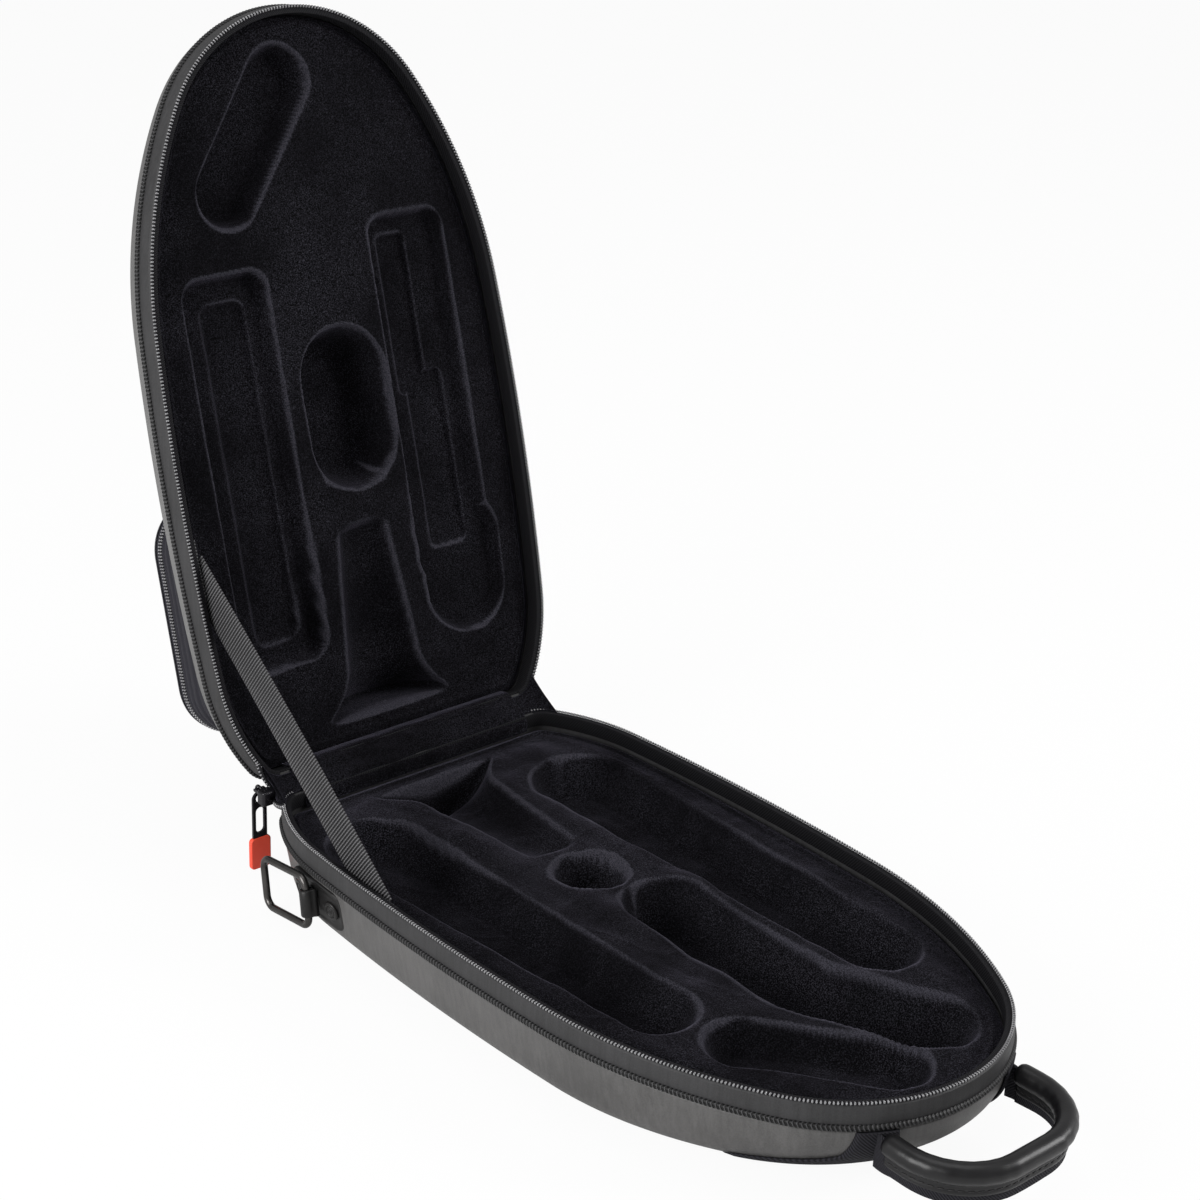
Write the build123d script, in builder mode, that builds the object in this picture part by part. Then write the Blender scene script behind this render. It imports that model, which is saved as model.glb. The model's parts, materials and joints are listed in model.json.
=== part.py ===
from build123d import *

import os
from math import acos, cos, degrees, radians, sin, sqrt

os.makedirs("parts", exist_ok=True)

# Clarinet case: two moulded foam shells joined by a fabric hinge at the wide end and
# closed by one zip that runs round the nose.  Millimetres, +Z up.  The case stands on
# its base with the lid held open by a webbing stay.  +Y is the hinge end, -Y the nose
# with the carrying handle.  The origin is the middle of the base's underside.

# ---- driving dimensions -------------------------------------------------------------
case_length = 412.5  # hinge edge to nose, at the rim
case_width = 235.0  # widest place, at the rim
base_depth = 53.0  # underside to rim
lid_depth = 48.0  # rim to the lid's outer face

# Plan outline: a straight hinge edge, then four tangent arcs a side.  Headings are
# degrees turned from +X towards -Y.
start_heading = 52.4
corner_turn = 33.7
corner_radius = 113.0
side_turn = 7.2
side_radius = 1490.0
shoulder_turn = 27.8

shell_wall = 3.5
base_band_height = 15.0  # stitched strip that carries the zip, under the base's rim
lid_band_height = 16.0
gap = 0.3  # between soft pieces that move or lie against each other

base_draft = 7.0  # how far the base's sides lean in on the way down
base_rake = 44.0  # how far its nose runs back under
base_rounding = 13.0  # bottom edge
base_bulge = 3.0  # its hinge end swells out
lid_draft = 12.0
lid_rake = 26.0
lid_rounding = 15.0
lid_bulge = 1.5

piping_height = 3.6
piping_out = 1.4
piping_sunk = 1.2  # how deep the piping is let into the band
tape_thickness = 0.6
tape_set_in = 0.9
tape_width = 3.8
chain_width = 2.0
chain_height = 1.4
chain_set_in = 0.3
binding_thickness = 1.0

base_lining_drop = 10.0  # from the rim to the top of the padding
lid_lining_drop = 10.0

open_angle = 105.9  # of the lid, where the stay stops it
hinge_set_back = 5.1  # hinge line behind the hinge edge
hinge_drop = 1.4  # and below the rim
hinge_fabric_margin = 7.9  # left bare at each end of the straight hinge edge
hinge_flap = 10.0
fabric_thickness = 0.8
hinge_bend_radius = 2.5

stay_thickness = 1.2
stay_base_set = 117.0  # from the hinge edge to the stay's foot, on the base
stay_lid_set = 125.0  # and to its head, on the lid
stay_end_drop = 5.0  # how far each end lies inside its rim
stay_foot_run = 30.0  # the 25 mm strap leans, so its ends are longer than its width
stay_head_run = 27.5
stay_tab_length = 34.0

# Instrument wells in the base, each by its depth under the rim.  A set is measured from
# the hinge edge, a nose set from the nose, and a side from the case's widest line.
bell_mouth_radius = 42.0
bell_waist_radius = 26.0
bell_neck_radius = 19.0
bell_length = 104.0
bell_lip = 5.0
bell_flare = 30.0  # mouth to waist
bell_set = 20.0
barrel_well_radius = 17.5
barrel_well_depth = 32.0
barrel_set = 152.0
upper_trough_radius = 25.0
upper_trough_end_radius = 18.0
upper_trough_depth = 30.0
upper_trough_side = 45.5
upper_trough_end_side = 55.5
upper_trough_set = 62.0
upper_trough_nose_set = 140.5
lower_trough_radius = 28.0
lower_trough_end_radius = 20.0
lower_trough_depth = 33.0
lower_trough_side = 51.5
lower_trough_set = 72.0
lower_trough_nose_set = 116.5
accessory_well_radius = 20.0
accessory_well_depth = 36.0
accessory_x = 10.0
accessory_set = 200.0
accessory_bend_nose_set = 114.0
accessory_tip_x = 36.0
accessory_tip_nose_set = 54.5
mouthpiece_well_radius = 18.0
mouthpiece_well_depth = 27.0
mouthpiece_x = -48.0
mouthpiece_nose_set = 94.5
mouthpiece_tip_x = -6.0
mouthpiece_tip_nose_set = 41.0
well_rounding = 11.0

# Hollows in the lid's padding, over the parts they press on.
lid_hollow_depth = 9.0
lid_barrel_hollow_depth = 26.0
lid_barrel_hollow_radius = 26.0
lid_barrel_hollow_x = 5.0
lid_barrel_hollow_set = 173.0
lid_barrel_hollow_length = 35.0
lid_mouthpiece_hollow_depth = 14.0
lid_upper_hollow_corner = 10.0
lid_upper_hollow_side = 39.5
lid_upper_hollow_width = 31.0
lid_upper_hollow_set = 70.0
lid_upper_hollow_nose_set = 148.5
lid_lower_hollow_radius = 27.0
lid_lower_hollow_corner = 14.0
lid_lower_hollow_nose_set = 134.5

slider_length = 9.0
slider_width = 8.4
slider_thickness = 7.5
slider_corner = 2.2
slider_edge = 1.2
slider_beyond = 3.6  # past the end of the straight hinge edge
slider_sunk = 0.9  # its back is this far inside the hinge edge
slider_drop = 0.8  # its middle, below the rim
throat_height = 2.0
throat_share = 0.35  # of the slider's thickness
jaw_reach = 8.1
jaw_thickness = 4.2
jaw_height = 4.6
bar_radius = 0.9
bar_lift = 1.6
bridge_margin = 1.4
bridge_leg = 1.5
link_play = 0.05
pull_ring_radius = 2.8
pull_ring_wire = 0.7
pull_width = 9.0
pull_length = 28.0
pull_thickness = 1.4
pull_eye_radius = 2.5
pull_eye_rim = 1.5
pull_side_bar = 1.8
tag_width = 13.0
tag_length = 19.0
tag_thickness = 3.0
tag_corner = 2.4
tag_edge = 0.7

plate_length = 46.0
plate_height = 24.0
plate_thickness = 2.4
plate_corner = 7.0
plate_set = 64.0  # middle of the plate, from the hinge edge
plate_drop = 29.0  # and below the rim
ring_wire_radius = 2.0
ring_reach = 42.0
ring_span = 28.0
ring_corner = 6.0
ring_clearance = 0.06
ring_droop = 9.0  # the ring's own lean, degrees
knuckle_wall = 1.8
rivet_radius = 5.4
rivet_height = 1.2
rivet_set = 14.3  # from the plate's middle

handle_half_width = 45.0
handle_reach = 40.0  # nose to the middle of the grip
handle_drop = 29.0  # grip's lower edge, below the rim
handle_corner = 34.0
handle_splay = 1.5  # each side leans out by this on its way to the grip
grip_roll_radius = 5.5
grip_apron = 5.0
grip_apron_width = 5.0
handle_web = 3.0
handle_web_height = 5.0
anchor_width = 26.0
anchor_thickness = 2.6
anchor_below_grip = 6.0

pocket_half_width = 97.0
pocket_set = 17.0  # pocket's lower edge, from the hinge edge
pocket_length = 136.0
pocket_corner = 30.0
pocket_wall = 4.5
pocket_depth = 31.0  # from the lid's face to the outside of the cover
pocket_cover_depth = 8.6
pocket_cover_skin = 3.0
pocket_rounding = 5.5
pocket_chain_width = 1.6
pocket_chain_height = 1.7
pocket_groove = 1.6
pocket_chain_start = 8.0  # from where the pocket's corner begins
pocket_tape_reach = 4.0  # the hinge tape's hold on the pocket's wall
pocket_slider_set = 6.0  # past the pocket's corner
pocket_slider_length = 8.0
pocket_slider_height = 6.0
pocket_slider_thickness = 2.2
pocket_slider_corner = 0.9
pocket_post_radius = 1.0
pocket_pull_length = 24.0
pocket_pull_wall = 1.0
pocket_pull_thickness = 1.4
pocket_pull_width = 3.2

# ---- the shared plan outline --------------------------------------------------------
hinge_edge = case_length / 2
rim_height = base_depth

heading_0 = radians(start_heading)
heading_1 = heading_0 + radians(corner_turn)
heading_2 = heading_1 + radians(side_turn)
heading_3 = heading_2 + radians(shoulder_turn)

# Half the straight hinge edge follows from the width that the arcs must reach.
half_edge = (
    case_width / 2
    - corner_radius * (sin(heading_1) - sin(heading_0))
    - side_radius * (1 - sin(heading_1))
)
corner_x = half_edge - corner_radius * sin(heading_0)
corner_y = hinge_edge - corner_radius * cos(heading_0)
side_x = corner_x - (side_radius - corner_radius) * sin(heading_1)
side_y = corner_y - (side_radius - corner_radius) * cos(heading_1)


def behind(distance):
    # Y of a place this far in front of the hinge edge.
    return hinge_edge - distance


def nose_arcs(inset, nose_y):
    # Radius and centre of the shoulder arc, then of the nose arc, so that both stay
    # tangent to the side arc and the nose lands on nose_y.
    side = side_radius - inset
    end_x = side_x + side * sin(heading_2)
    end_y = side_y + side * cos(heading_2)
    sines = sin(heading_3) - sin(heading_2)
    cosines = cos(heading_3) - cos(heading_2)
    share = (1 + cos(heading_3)) / sin(heading_3)
    shoulder = (end_y - nose_y - end_x * share) / (sines * share - cosines)
    nose = (end_x + shoulder * sines) / sin(heading_3)
    shoulder_x = end_x - shoulder * sin(heading_2)
    shoulder_y = end_y - shoulder * cos(heading_2)
    return shoulder, (shoulder_x, shoulder_y), nose, (0, nose_y + nose)


def outline(inset=0.0, back_inset=None, nose_inset=None):
    # The plan outline moved in by inset, with its hinge edge and its nose placed on
    # their own.  All outlines have the same arcs, so any two of them can be lofted.
    back_y = hinge_edge - (inset if back_inset is None else back_inset)
    nose_y = -case_length / 2 + (inset if nose_inset is None else nose_inset)
    corner = corner_radius - inset
    first = acos((back_y - corner_y) / corner)
    edge_x = corner_x + corner * sin(first)
    shoulder, shoulder_center, nose, nose_center = nose_arcs(inset, nose_y)
    with BuildSketch() as face:
        with BuildLine():
            CenterArc((corner_x, corner_y), corner, 90 - degrees(first), degrees(first - heading_1))
            CenterArc((side_x, side_y), side_radius - inset, 90 - degrees(heading_1), -side_turn)
            CenterArc(shoulder_center, shoulder, 90 - degrees(heading_2), -shoulder_turn)
            CenterArc(nose_center, nose, 90 - degrees(heading_3), degrees(heading_3) - 180)
            mirror(about=Plane.YZ)
            Line((-edge_x, back_y), (edge_x, back_y))
        make_face()
    return face.sketch


def half_width_at(distance, inset=0.0):
    # Half the outline's width this far in front of the hinge edge, along the corner arc
    # or the side arc.
    y = behind(distance)
    if y > corner_y + corner_radius * cos(heading_1):
        return corner_x + sqrt((corner_radius - inset) ** 2 - (y - corner_y) ** 2)
    return side_x + sqrt((side_radius - inset) ** 2 - (y - side_y) ** 2)


def nose_y_at(x, out=0.0):
    # Y of the nose arc at this distance from the middle, moved out of the case.
    nose_radius, (_, center_y) = nose_arcs(0.0, -case_length / 2)[2:]
    return center_y - sqrt((nose_radius + out) ** 2 - x**2)


def ring(plane, low, high, outer, inner):
    # A wall between two insets of the outline, from one height to another.
    with BuildPart() as wall:
        with BuildSketch(plane.offset(low)):
            add(outline(outer))
            add(outline(inner), mode=Mode.SUBTRACT)
        extrude(amount=high - low)
    return wall.part


def shell_form(plane, side, band, depth, draft, rake, rounding, bulge, wall):
    # Closed body of a moulded shell, from its band to its outer face, moved in by wall.
    # side is +1 where the depth is measured along the plane's Z and -1 against it.
    # The sides lean in evenly, the nose runs in faster and faster, the outer edge is
    # rounded like a quarter ellipse, and the hinge end swells out a little.
    top = depth - wall
    with BuildPart() as form:
        for share in (0.0, 0.3, 0.62, 0.86, 1.0):
            height = band + (top - band) * share
            fall = (height - band) / (depth - band)
            into_edge = max(0.0, height - depth + rounding) / rounding
            turned = wall + rounding * (1 - sqrt(max(0.0, 1 - into_edge**2)))
            back = turned - bulge * sin(radians(90) * fall)
            nose = turned + rake * fall**2.6 + 0.4 * wall * fall
            with BuildSketch(plane.offset(side * height)):
                add(outline(turned + draft * fall, back, nose))
        loft()
    return form.part


rim_plane = Plane.XY.offset(rim_height)


def base_form(wall):
    return shell_form(rim_plane, -1, base_band_height, base_depth, base_draft, base_rake,
                      base_rounding, base_bulge, wall)


# The lid is drawn on its own rim plane, which is the closed one turned about the hinge
# line: X across, Y towards the hinge, Z out to the lid's outer face.
hinge_y = hinge_edge + hinge_set_back
hinge_z = rim_height - hinge_drop
to_hinge = Pos(0, hinge_y, hinge_z)
lid_location = to_hinge * Rot(-open_angle, 0, 0) * to_hinge.inverse() * Pos(0, 0, rim_height)
lid_plane = Plane(lid_location)


def lid_form(wall):
    return shell_form(lid_plane, 1, lid_band_height, lid_depth, lid_draft, lid_rake,
                      lid_rounding, lid_bulge, wall)


# ---- moulded shells -----------------------------------------------------------------
with BuildPart() as base_shell:
    add(base_form(0.0))
    add(base_form(shell_wall), mode=Mode.SUBTRACT)
base_shell.part.label = "base_shell"
export_step(base_shell.part, "parts/base_shell.step")

with BuildPart() as lid_shell:
    add(lid_form(0.0))
    add(lid_form(shell_wall), mode=Mode.SUBTRACT)
lid_shell.part.label = "lid_shell"
export_step(lid_shell.part, "parts/lid_shell.step")


# ---- rims: band, piping, zip tape, zip chain and inner binding ------------------------
# side is -1 below the base's rim and +1 above the lid's, as for the shells.
def rim_heights(side, near, far):
    return min(side * near, side * far), max(side * near, side * far)


chain_top = gap / 2
tape_top = chain_top + chain_height
band_top = tape_top + tape_thickness
binding_end = base_lining_drop - gap


def rim_band(plane, side, band):
    # A strip round the rim.  Its outer skin stops short, over the piping.
    with BuildPart() as strip:
        add(ring(plane, *rim_heights(side, band_top, band), piping_sunk, shell_wall))
        add(ring(plane, *rim_heights(side, band_top, band - piping_height), 0.0, piping_sunk))
    return strip.part


def hinge_gap(plane, low, high, reach):
    # Space along the straight hinge edge, where the zip does not run.
    with BuildPart() as space:
        with BuildSketch(plane.offset(low)):
            with Locations((0, hinge_edge)):
                Rectangle(2 * half_edge, 2 * reach)
        extrude(amount=high - low)
    return space.part


def zip_strip(plane, side, near, far, outer, inner):
    # Runs from one end of the hinge edge round the nose to the other.
    low, high = rim_heights(side, near, far)
    with BuildPart() as strip:
        add(ring(plane, low, high, outer, inner))
        add(hinge_gap(plane, low, high, inner + gap), mode=Mode.SUBTRACT)
    return strip.part


rims = (("base", rim_plane, -1, base_band_height), ("lid", lid_plane, 1, lid_band_height))
for name, plane, side, band in rims:
    with BuildPart() as rim_strip:
        add(rim_band(plane, side, band))
    rim_strip.part.label = f"{name}_rim_band"
    export_step(rim_strip.part, f"parts/{name}_rim_band.step")

    with BuildPart() as piping:
        add(ring(plane, *rim_heights(side, band - piping_height, band), -piping_out, piping_sunk))
    piping.part.label = f"{name}_piping"
    export_step(piping.part, f"parts/{name}_piping.step")

    with BuildPart() as zip_tape:
        add(zip_strip(plane, side, tape_top, band_top, tape_set_in, tape_set_in + tape_width))
    zip_tape.part.label = f"{name}_zip_tape"
    export_step(zip_tape.part, f"parts/{name}_zip_tape.step")

    with BuildPart() as zip_chain:
        add(zip_strip(plane, side, chain_top, tape_top, chain_set_in, chain_set_in + chain_width))
    zip_chain.part.label = f"{name}_zip_chain"
    export_step(zip_chain.part, f"parts/{name}_zip_chain.step")

    with BuildPart() as binding:
        add(ring(plane, *rim_heights(side, band_top, binding_end), shell_wall,
                 shell_wall + binding_thickness))
    binding.part.label = f"{name}_binding"
    export_step(binding.part, f"parts/{name}_binding.step")


# ---- padding with the instrument's wells ----------------------------------------------
lining_inset = shell_wall + gap


def well(plane, side, circles, depth, rounding):
    # Hollow under the tight outline round a few circles, each (x, from hinge, radius).
    # It is sunk from the plane to the depth, with a rounded floor.
    with BuildPart() as hollow:
        with BuildSketch(plane):
            for x, distance, radius in circles:
                with Locations((x, behind(distance))):
                    Circle(radius)
            make_hull()
        extrude(amount=side * depth)
        floor = hollow.faces().sort_by(Axis(plane.origin, plane.z_dir * side))[-1]
        fillet(floor.edges(), rounding)
    return hollow.part


def bell_hollow(plane):
    # The bell lies on its side with its axis in the rim plane.
    mouth_y = behind(bell_set)
    lip = (bell_mouth_radius, mouth_y - bell_lip)
    waist = (bell_waist_radius, mouth_y - bell_flare)
    throat = (bell_neck_radius, mouth_y - bell_length)
    with BuildPart() as horn:
        with BuildSketch(plane):
            with BuildLine():
                Line((0, mouth_y), (bell_mouth_radius, mouth_y))
                Line((bell_mouth_radius, mouth_y), lip)
                TangentArc(waist, lip, tangent=(throat[0] - waist[0], throat[1] - waist[1]),
                           tangent_from_first=True)
                Line(waist, throat)
                Line(throat, (0, throat[1]))
                Line((0, throat[1]), (0, mouth_y))
            make_face()
        revolve(axis=Axis(plane.origin, plane.y_dir))
    return horn.part


def nose_set(distance):
    # Distance from the hinge edge of a place this far from the nose.
    return case_length - distance


def from_side(distance):
    # X of a place this far in from the widest line.
    return case_width / 2 - distance


barrel_well = ((0, barrel_set, barrel_well_radius),)
upper_well = (
    (-from_side(upper_trough_side), upper_trough_set, upper_trough_radius),
    (-from_side(upper_trough_end_side), nose_set(upper_trough_nose_set), upper_trough_end_radius),
)
lower_well = (
    (from_side(lower_trough_side), lower_trough_set, lower_trough_radius),
    (from_side(lower_trough_side), nose_set(lower_trough_nose_set), lower_trough_end_radius),
)
accessory_bend = nose_set(accessory_bend_nose_set)
accessory_well = (
    (accessory_x, accessory_set, accessory_well_radius),
    (accessory_x, accessory_bend, accessory_well_radius),
)
accessory_tip = (
    (accessory_x, accessory_bend, accessory_well_radius),
    (accessory_tip_x, nose_set(accessory_tip_nose_set), accessory_well_radius),
)
mouthpiece_well = (
    (mouthpiece_x, nose_set(mouthpiece_nose_set), mouthpiece_well_radius),
    (mouthpiece_tip_x, nose_set(mouthpiece_tip_nose_set), mouthpiece_well_radius),
)

upper_hollow_x = -from_side(lid_upper_hollow_side)
upper_hollow_end = nose_set(lid_upper_hollow_nose_set)
upper_hollow = (
    (upper_hollow_x, lid_upper_hollow_set, lid_upper_hollow_corner),
    (upper_hollow_x + lid_upper_hollow_width, lid_upper_hollow_set, lid_upper_hollow_corner),
    (upper_hollow_x, upper_hollow_end, lid_upper_hollow_corner),
    (upper_hollow_x + lid_upper_hollow_width, upper_hollow_end, lid_upper_hollow_corner),
)
barrel_hollow_end = lid_barrel_hollow_set + lid_barrel_hollow_length
barrel_hollow = (
    (lid_barrel_hollow_x, lid_barrel_hollow_set, lid_barrel_hollow_radius),
    (lid_barrel_hollow_x, barrel_hollow_end, lid_barrel_hollow_radius),
)
lower_hollow_x = from_side(lower_trough_side)
lower_hollow_end = nose_set(lid_lower_hollow_nose_set)
lower_hollow = (
    (lower_hollow_x, lower_trough_set, lid_lower_hollow_radius),
    (lower_hollow_x - lid_lower_hollow_corner, lower_hollow_end, lid_lower_hollow_corner),
    (lower_hollow_x + lid_lower_hollow_corner / 2, lower_hollow_end, lid_lower_hollow_corner),
)

with BuildPart() as base_lining:
    add(base_form(lining_inset))
    with BuildSketch(rim_plane.offset(-base_band_height)):
        add(outline(lining_inset))
    extrude(amount=base_band_height - base_lining_drop)
    top = rim_plane.offset(-base_lining_drop)
    for circles, depth in (
        (barrel_well, barrel_well_depth),
        (upper_well, upper_trough_depth),
        (lower_well, lower_trough_depth),
        (accessory_well, accessory_well_depth),
        (accessory_tip, accessory_well_depth),
        (mouthpiece_well, mouthpiece_well_depth),
    ):
        add(well(top, -1, circles, depth - base_lining_drop, well_rounding), mode=Mode.SUBTRACT)
    add(bell_hollow(rim_plane), mode=Mode.SUBTRACT)
base_lining.part.label = "base_lining"
export_step(base_lining.part, "parts/base_lining.step")

with BuildPart() as lid_lining:
    add(lid_form(lining_inset))
    with BuildSketch(lid_plane.offset(lid_lining_drop)):
        add(outline(lining_inset))
    extrude(amount=lid_band_height - lid_lining_drop)
    top = lid_plane.offset(lid_lining_drop)
    for circles, depth in (
        (mouthpiece_well, lid_mouthpiece_hollow_depth),
        (upper_hollow, lid_hollow_depth),
        (barrel_hollow, lid_barrel_hollow_depth),
        (lower_hollow, lid_hollow_depth),
    ):
        add(well(top, 1, circles, depth, min(well_rounding, 0.6 * depth)), mode=Mode.SUBTRACT)
    add(bell_hollow(lid_plane), mode=Mode.SUBTRACT)
lid_lining.part.label = "lid_lining"
export_step(lid_lining.part, "parts/lid_lining.step")


# ---- hinge fabric and stay --------------------------------------------------------------
def on_lid(x, y, height):
    # A place on the open lid, from its place in the lid's own frame.
    return lid_plane.from_local_coords(Vector(x, y, height))


# The fabric lies flat on the back of both bands and bends once, above the hinge line.
fabric_out = gap + fabric_thickness / 2
hinge_fabric_width = 2 * (half_edge - hinge_fabric_margin)
flap_top = on_lid(0, hinge_edge + fabric_out, hinge_flap)
flap_low = on_lid(0, hinge_edge + fabric_out, 0)
along_lid = (flap_low - flap_top).normalized()
to_base_flap = (flap_low.Y - hinge_edge - fabric_out) / -along_lid.Y
bend_z = flap_low.Z + along_lid.Z * to_base_flap
with BuildPart() as hinge_fabric:
    with BuildSketch(Plane.YZ.offset(-hinge_fabric_width / 2)):
        with BuildLine():
            FilletPolyline(
                (hinge_edge + fabric_out, rim_height - hinge_flap),
                (hinge_edge + fabric_out, bend_z),
                (flap_top.Y, flap_top.Z),
                radius=hinge_bend_radius,
            )
        trace(line_width=fabric_thickness)
    extrude(amount=hinge_fabric_width)
hinge_fabric.part.label = "hinge_fabric"
export_step(hinge_fabric.part, "parts/hinge_fabric.step")

# Each end of the stay is sewn to a tab on the inner binding.
tab_inset = shell_wall + binding_thickness
tab_reach = (band_top + gap, binding_end)
for name, plane, side, distance in (
    ("base", rim_plane, -1, stay_base_set),
    ("lid", lid_plane, 1, stay_lid_set),
):
    low, high = rim_heights(side, *tab_reach)
    with BuildPart() as strap_tab:
        add(ring(plane, low, high, tab_inset, tab_inset + stay_thickness))
        with BuildSketch(plane.offset(low)):
            with Locations((-case_width / 2, behind(distance))):
                Rectangle(case_width / 2, stay_tab_length)
        extrude(amount=high - low, mode=Mode.INTERSECT)
    strap_tab.part.label = f"{name}_stay_tab"
    export_step(strap_tab.part, f"parts/{name}_stay_tab.step")

stay_foot = Vector(0, behind(stay_base_set), rim_height - stay_end_drop)
stay_head = on_lid(0, behind(stay_lid_set), stay_end_drop)
stay_x = -half_width_at(stay_base_set - stay_tab_length / 2, tab_inset + stay_thickness) + gap
with BuildPart() as stay_strap:
    with BuildSketch(Plane.YZ.offset(stay_x)):
        with BuildLine():
            half_foot = stay_foot_run / 2
            half_head = stay_head_run / 2
            head_along = on_lid(0, 1, 0) - on_lid(0, 0, 0)
            Polyline(
                (stay_foot.Y + half_foot, stay_foot.Z),
                (stay_head.Y + head_along.Y * half_head, stay_head.Z + head_along.Z * half_head),
                (stay_head.Y - head_along.Y * half_head, stay_head.Z - head_along.Z * half_head),
                (stay_foot.Y - half_foot, stay_foot.Z),
                close=True,
            )
        make_face()
    extrude(amount=stay_thickness)
stay_strap.part.label = "stay_strap"
export_step(stay_strap.part, "parts/stay_strap.step")


# ---- zip slider, its ring, pull and tag ---------------------------------------------------
# The slider waits at the left end of the chain, clear of the lid's corner as it turns.
slider_x = -(half_edge + slider_beyond + slider_length / 2)
slider_y = hinge_edge - slider_sunk + slider_thickness / 2
slider_z = rim_height - slider_drop
bar_y = slider_y + slider_thickness / 2 + pull_ring_radius + pull_ring_wire + gap
bar_z = slider_z + bar_lift
with BuildPart() as zip_slider:
    with BuildSketch(Plane.XY.offset(slider_z - slider_width / 2)):
        with Locations((slider_x, slider_y)):
            RectangleRounded(slider_length, slider_thickness, slider_corner)
    extrude(amount=slider_width)
    fillet(zip_slider.faces().filter_by(Axis.Z).edges(), slider_edge)
    # Throat: the slot that the two halves of the chain run into.
    with BuildSketch(Plane.XY.offset(slider_z - throat_height / 2)):
        with Locations((slider_x + slider_length / 2, slider_y - slider_thickness / 2)):
            Rectangle(slider_length, 2 * throat_share * slider_thickness)
    extrude(amount=throat_height, mode=Mode.SUBTRACT)
    # Jaw: reaches in to the chain's end, close enough to the hinge line to miss the lid.
    jaw_start = slider_x + slider_length / 2 - bridge_leg
    with BuildSketch(Plane.XY.offset(slider_z - throat_height - throat_height / 2)):
        with Locations((jaw_start + jaw_reach / 2, hinge_edge + gap + jaw_thickness / 2)):
            Rectangle(jaw_reach + bridge_leg, jaw_thickness)
    extrude(amount=jaw_height)
    # Bridge: a bar across the slider's back, on two legs.
    bridge_start = slider_x - slider_length / 2 + bridge_margin
    bridge_length = slider_length - 2 * bridge_margin
    with BuildSketch(Plane.YZ.offset(bridge_start)):
        with Locations((bar_y, bar_z)):
            Circle(bar_radius)
    extrude(amount=bridge_length)
    for leg_x in (bridge_start, bridge_start + bridge_length - bridge_leg):
        with BuildSketch(Plane.YZ.offset(leg_x)):
            with Locations(((bar_y + slider_y) / 2, bar_z)):
                Rectangle(bar_y - slider_y, bar_radius * 2)
            with Locations((bar_y, bar_z)):
                Circle(bar_radius)
        extrude(amount=bridge_leg)
zip_slider.part.label = "zip_slider"
export_step(zip_slider.part, "parts/zip_slider.step")

link_z = bar_z - (pull_ring_radius - pull_ring_wire - bar_radius - link_play)
with BuildPart() as pull_ring:
    with BuildSketch(Plane((slider_x, bar_y, link_z), x_dir=(1, 0, 0), z_dir=(0, 1, 0))):
        with Locations((0, pull_ring_radius)):
            Circle(pull_ring_wire)
    revolve(axis=Axis((slider_x, bar_y, link_z), (1, 0, 0)))
pull_ring.part.label = "pull_ring"
export_step(pull_ring.part, "parts/pull_ring.step")

# The pull hangs on the ring by its round eye; a long slot lightens it below.
eye_z = link_z - pull_ring_radius + pull_ring_wire + 3 * link_play - pull_eye_radius
pull_top = eye_z + pull_eye_radius + pull_eye_rim
pull_low = pull_top - pull_length
pull_plane = Plane((slider_x, bar_y - pull_thickness / 2, 0), x_dir=(1, 0, 0), z_dir=(0, 1, 0))
with BuildPart() as zip_pull:
    with BuildSketch(pull_plane):
        pull_crown = pull_top - pull_width / 2
        with Locations((0, -pull_crown)):
            Circle(pull_width / 2)
        with Locations((0, -(pull_crown + pull_low) / 2)):
            Rectangle(pull_width, pull_crown - pull_low)
        with Locations((0, -eye_z)):
            Circle(pull_eye_radius, mode=Mode.SUBTRACT)
        slot_top = eye_z - pull_eye_radius - 2 * pull_eye_rim
        slot_low = pull_low + 2 * pull_eye_rim
        slot_width = pull_width - 2 * pull_side_bar
        with Locations((0, -(slot_top + slot_low) / 2)):
            SlotOverall(slot_top - slot_low, slot_width, rotation=90, mode=Mode.SUBTRACT)
    extrude(amount=pull_thickness)
zip_pull.part.label = "zip_pull"
export_step(zip_pull.part, "parts/zip_pull.step")

with BuildPart() as pull_tag:
    with BuildSketch(pull_plane.offset((pull_thickness - tag_thickness) / 2)):
        with Locations((0, -(pull_low - tag_length / 2))):
            RectangleRounded(tag_width, tag_length, tag_corner)
    extrude(amount=tag_thickness)
    fillet(pull_tag.faces().filter_by(Axis.Y).edges(), tag_edge)
pull_tag.part.label = "pull_tag"
export_step(pull_tag.part, "parts/pull_tag.step")


# ---- strap rings on the side walls ---------------------------------------------------------
plate_heading = acos((behind(plate_set) - corner_y) / corner_radius)
plate_z = rim_height - plate_drop
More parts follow.
